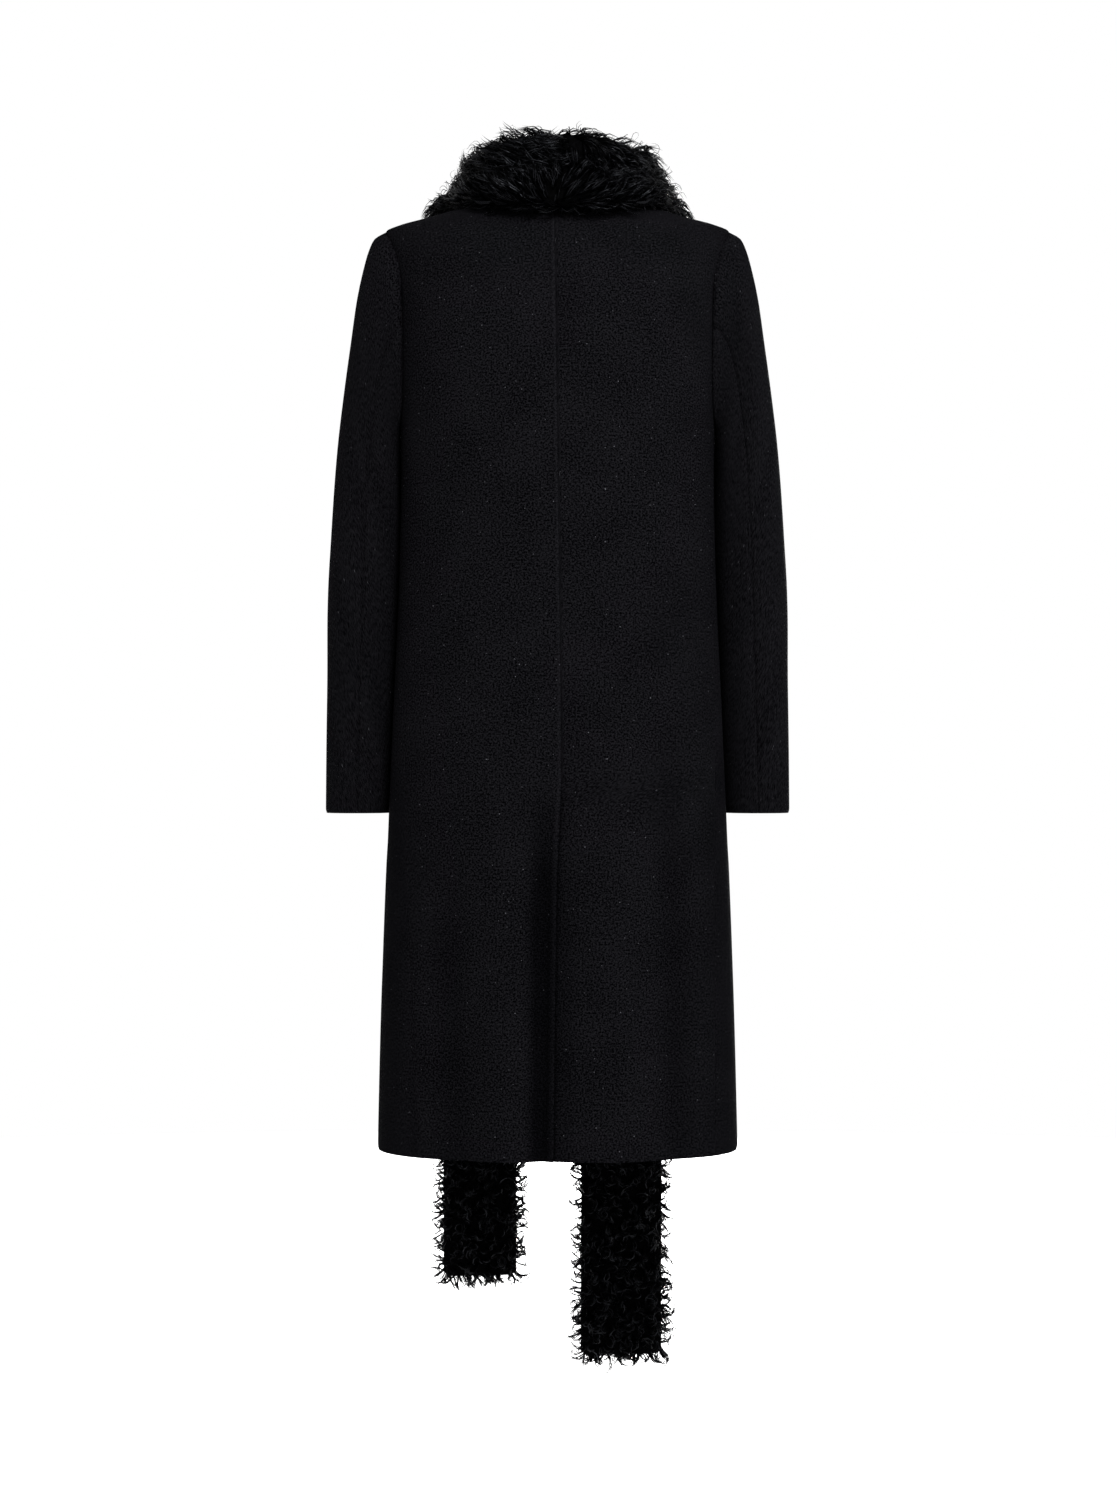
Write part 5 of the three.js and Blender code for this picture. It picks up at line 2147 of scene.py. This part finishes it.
        # family, distance, density, least and most size, swing, nod, attribute
        cover = Coverage(locks["swept"], 0.0037, 60000, 0.8, 1.25, 26, 14, "cover")
        wisps = Coverage(locks["strands"], 0.0048, 16000, 0.7, 1.2, 50, 38, "edge")
        hooks = Coverage(locks["loose"], 0.0075, 5000, 0.8, 1.4, 80, 75, "edge")
        parts = [(("collar_hair", None), (self.collar_cover, self.edge_cover), self.collar_flow)]
        made += self.dress(growth, collar, "collar", parts, [cover, wisps, hooks], hair, hide, 5)
        for side, (wide, end_z, turn) in ((Side.LEFT, self.left_end), (Side.RIGHT, self.right_end)):
            node = f"scarf_{side.word}"
            sections = self.form.scarf_sections(side, wide, end_z, turn)
            skin = FurSkin(f"{node}_hide", sections)
            curls = Coverage(locks["curled"], 0.0046, 60000, 0.75, 1.2, 150, 22, "cover")
            edges = Coverage(locks["loose"], 0.0048, 20000, 0.7, 1.2, 120, 45, "edge")
            masks = (self.scarf_cover, self.hook_cover)
            parts = [
                ((f"{node}_hair_upper", True), masks, self.scarf_flow),
                ((f"{node}_hair_lower", False), masks, self.scarf_flow),
            ]
            made += self.dress(growth, skin, node, parts, [curls, edges], hair, hide, 40 + side.value)
        for group in locks.values():
            for piece in list(group.objects):
                bpy.data.objects.remove(piece)
            bpy.data.collections.remove(group)
        return made

    def dress(
        self,
        growth: FurGrowth,
        skin: FurSkin,
        node: str,
        parts: Sequence[tuple],
        coverages: Sequence[Coverage],
        hair: bpy.types.Material,
        hide: bpy.types.Material,
        seed: int,
    ) -> list[bpy.types.Object]:
        """Build one skin and its hair, hide the part that they stand for, and log their faces.

        Args:
            growth: The node tree that grows hair.
            skin: The skin's form.
            node: The node that they stand for.
            parts: Each hair piece's name and half, its two masks and its flow.
            coverages: The families that grow.
            hair: The hair's material.
            hide: The skin's material.
            seed: The seed.

        Returns:
            The skin and its hair pieces.
        """
        base = skin.build()
        base.data.materials.append(hide)
        mesh = base.data
        points, normals = (np.empty(len(mesh.vertices) * 3, dtype=np.float32) for _ in range(2))
        mesh.vertices.foreach_get("co", points)
        mesh.vertices.foreach_get("normal", normals)
        points, normals = (flat.reshape(-1, 3).astype(float) for flat in (points, normals))
        pieces = []
        for (name, upper), masks, flow in parts:
            inside = np.ones(len(points))
            if upper is not None:
                inside = ((points[:, 2] > self.split_z) == upper).astype(float)
            self.write(mesh, "flow", flow(points, normals), "FLOAT_VECTOR")
            for key, mask in zip(("cover", "edge"), masks):
                self.write(mesh, key, mask(points, normals) * inside, "FLOAT")
            meshes = [growth.grow(base, one, hair, seed + i) for i, one in enumerate(coverages)]
            pieces.append(join_meshes(name, meshes, hair))
            seed += 100
        for key in ("flow", "cover", "edge"):
            mesh.attributes.remove(mesh.attributes[key])
        for piece in [base, *pieces]:
            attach(piece, "root")
            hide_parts(node)
            LOG.info("%s: %d faces", piece.name, len(piece.data.polygons))
        length = float(np.linalg.norm(np.diff([s.at for s in skin.sections], axis=0), axis=1).sum())
        wide = float(np.mean([s.wide for s in skin.sections]))
        return [base, *pieces]

    def write(self, mesh: bpy.types.Mesh, name: str, values: Points, kind: str) -> None:
        """Write values on a mesh's points.

        Args:
            mesh: The mesh.
            name: The attribute's name.
            values: One for each point.
            kind: Blender's name of their type.
        """
        layer = mesh.attributes.get(name) or mesh.attributes.new(name, kind, "POINT")
        field_name = "vector" if kind == "FLOAT_VECTOR" else "value"
        layer.data.foreach_set(field_name, np.asarray(values, dtype=np.float32).ravel())


def join_meshes(name: str, meshes: Sequence[bpy.types.Mesh], finish: bpy.types.Material) -> bpy.types.Object:
    """Join meshes into one object at the origin.

    Args:
        name: The piece's name.
        meshes: The meshes, which are removed.
        finish: Its material.

    Returns:
        The linked object.
    """
    kept = bmesh.new()
    for mesh in meshes:
        kept.from_mesh(mesh)
        bpy.data.meshes.remove(mesh)
    whole = bpy.data.meshes.new(name)
    kept.to_mesh(whole)
    kept.free()
    whole.materials.clear()
    whole.materials.append(finish)
    whole.polygons.foreach_set("material_index", np.zeros(len(whole.polygons), dtype=np.int32))
    return linked(whole)


@dataclass
class Studio:
    """A pale floor, soft light mostly from behind the camera, and the photograph's camera."""

    camera_at: tuple[float, float, float] = (-0.001, 4.0, -0.582)
    lens: float = 88.6
    sensor: float = 36.0
    world: float = 1.0
    floor_z: float = -1.42
    floor_radius: float = 4.0

    def build(self) -> None:
        """Set the stage."""
        bpy.context.scene.view_settings.view_transform = "Standard"
        self.floor()
        self.world_light()
        # name, place, target, size, power
        self.area("key", (-0.8, 2.7, 1.7), (0.0, 0.0, -0.35), 1.0, 245.0)
        self.area("side", (-1.9, 1.0, 1.1), (-0.08, 0.0, 0.0), 0.35, 20.0)
        self.area("front", (-0.5, -3.6, 0.1), (0.0, 0.0, -0.5), 1.4, 300.0)
        self.camera()

    def floor(self) -> None:
        """A round floor below the hanging ends."""
        turns = np.linspace(0, 2 * np.pi, 97)[:-1]
        rim = np.stack([np.cos(turns), np.sin(turns), np.zeros_like(turns)], -1) * self.floor_radius
        rim[:, 2] = self.floor_z
        mesh = bpy.data.meshes.new("floor")
        mesh.from_pydata(rim.tolist(), [], [list(range(len(rim)))])
        plane = bpy.data.objects.new("floor", mesh)
        sheet = NodeSheet("studio_floor")
        sheet.shader.inputs["Base Color"].default_value = (0.9, 0.9, 0.9, 1)
        sheet.shader.inputs["Roughness"].default_value = 0.9
        plane.data.materials.append(sheet.material)
        bpy.context.scene.collection.objects.link(plane)

    def world_light(self) -> None:
        """A plain white surround."""
        world = bpy.data.worlds.new("studio")
        world.use_nodes = True
        ground = world.node_tree.nodes["Background"]
        ground.inputs["Color"].default_value = (1, 1, 1, 1)
        ground.inputs["Strength"].default_value = self.world
        bpy.context.scene.world = world

    def area(self, name: str, at: Row, target: Row, size: float, power: float) -> None:
        """A square soft light aimed at a point.

        Args:
            name: Its name.
            at: Its place.
            target: The point.
            size: Its side.
            power: Watts.
        """
        data = bpy.data.lights.new(name, "AREA")
        data.shape = "SQUARE"
        data.size = size
        data.energy = power
        lamp = bpy.data.objects.new(name, data)
        lamp.location = at
        way = Vector(target) - Vector(at)
        lamp.rotation_euler = way.to_track_quat("-Z", "Y").to_euler()
        bpy.context.scene.collection.objects.link(lamp)

    def camera(self) -> None:
        """The photograph's camera: level, behind the coat, looking at its back."""
        data = bpy.data.cameras.new("photo")
        data.sensor_width = self.sensor
        data.sensor_fit = "AUTO"
        data.lens = self.lens
        camera = bpy.data.objects.new("photo", data)
        camera.location = self.camera_at
        camera.rotation_euler = (math.radians(90), 0.0, math.radians(180))
        bpy.context.scene.collection.objects.link(camera)
        bpy.context.scene.camera = camera


def main() -> None:
    """Build the coat and its studio."""
    logging.basicConfig(level=logging.INFO, format="%(message)s")
    form = CoatForm()
    Studio().build()
    cloth = CoatCloth(form).build()
    fur = FurTrim(FurForm(form)).build()
    LOG.info("%d cloth pieces, %d fur pieces", len(cloth), len(fur))


if __name__ == "__main__":
    main()
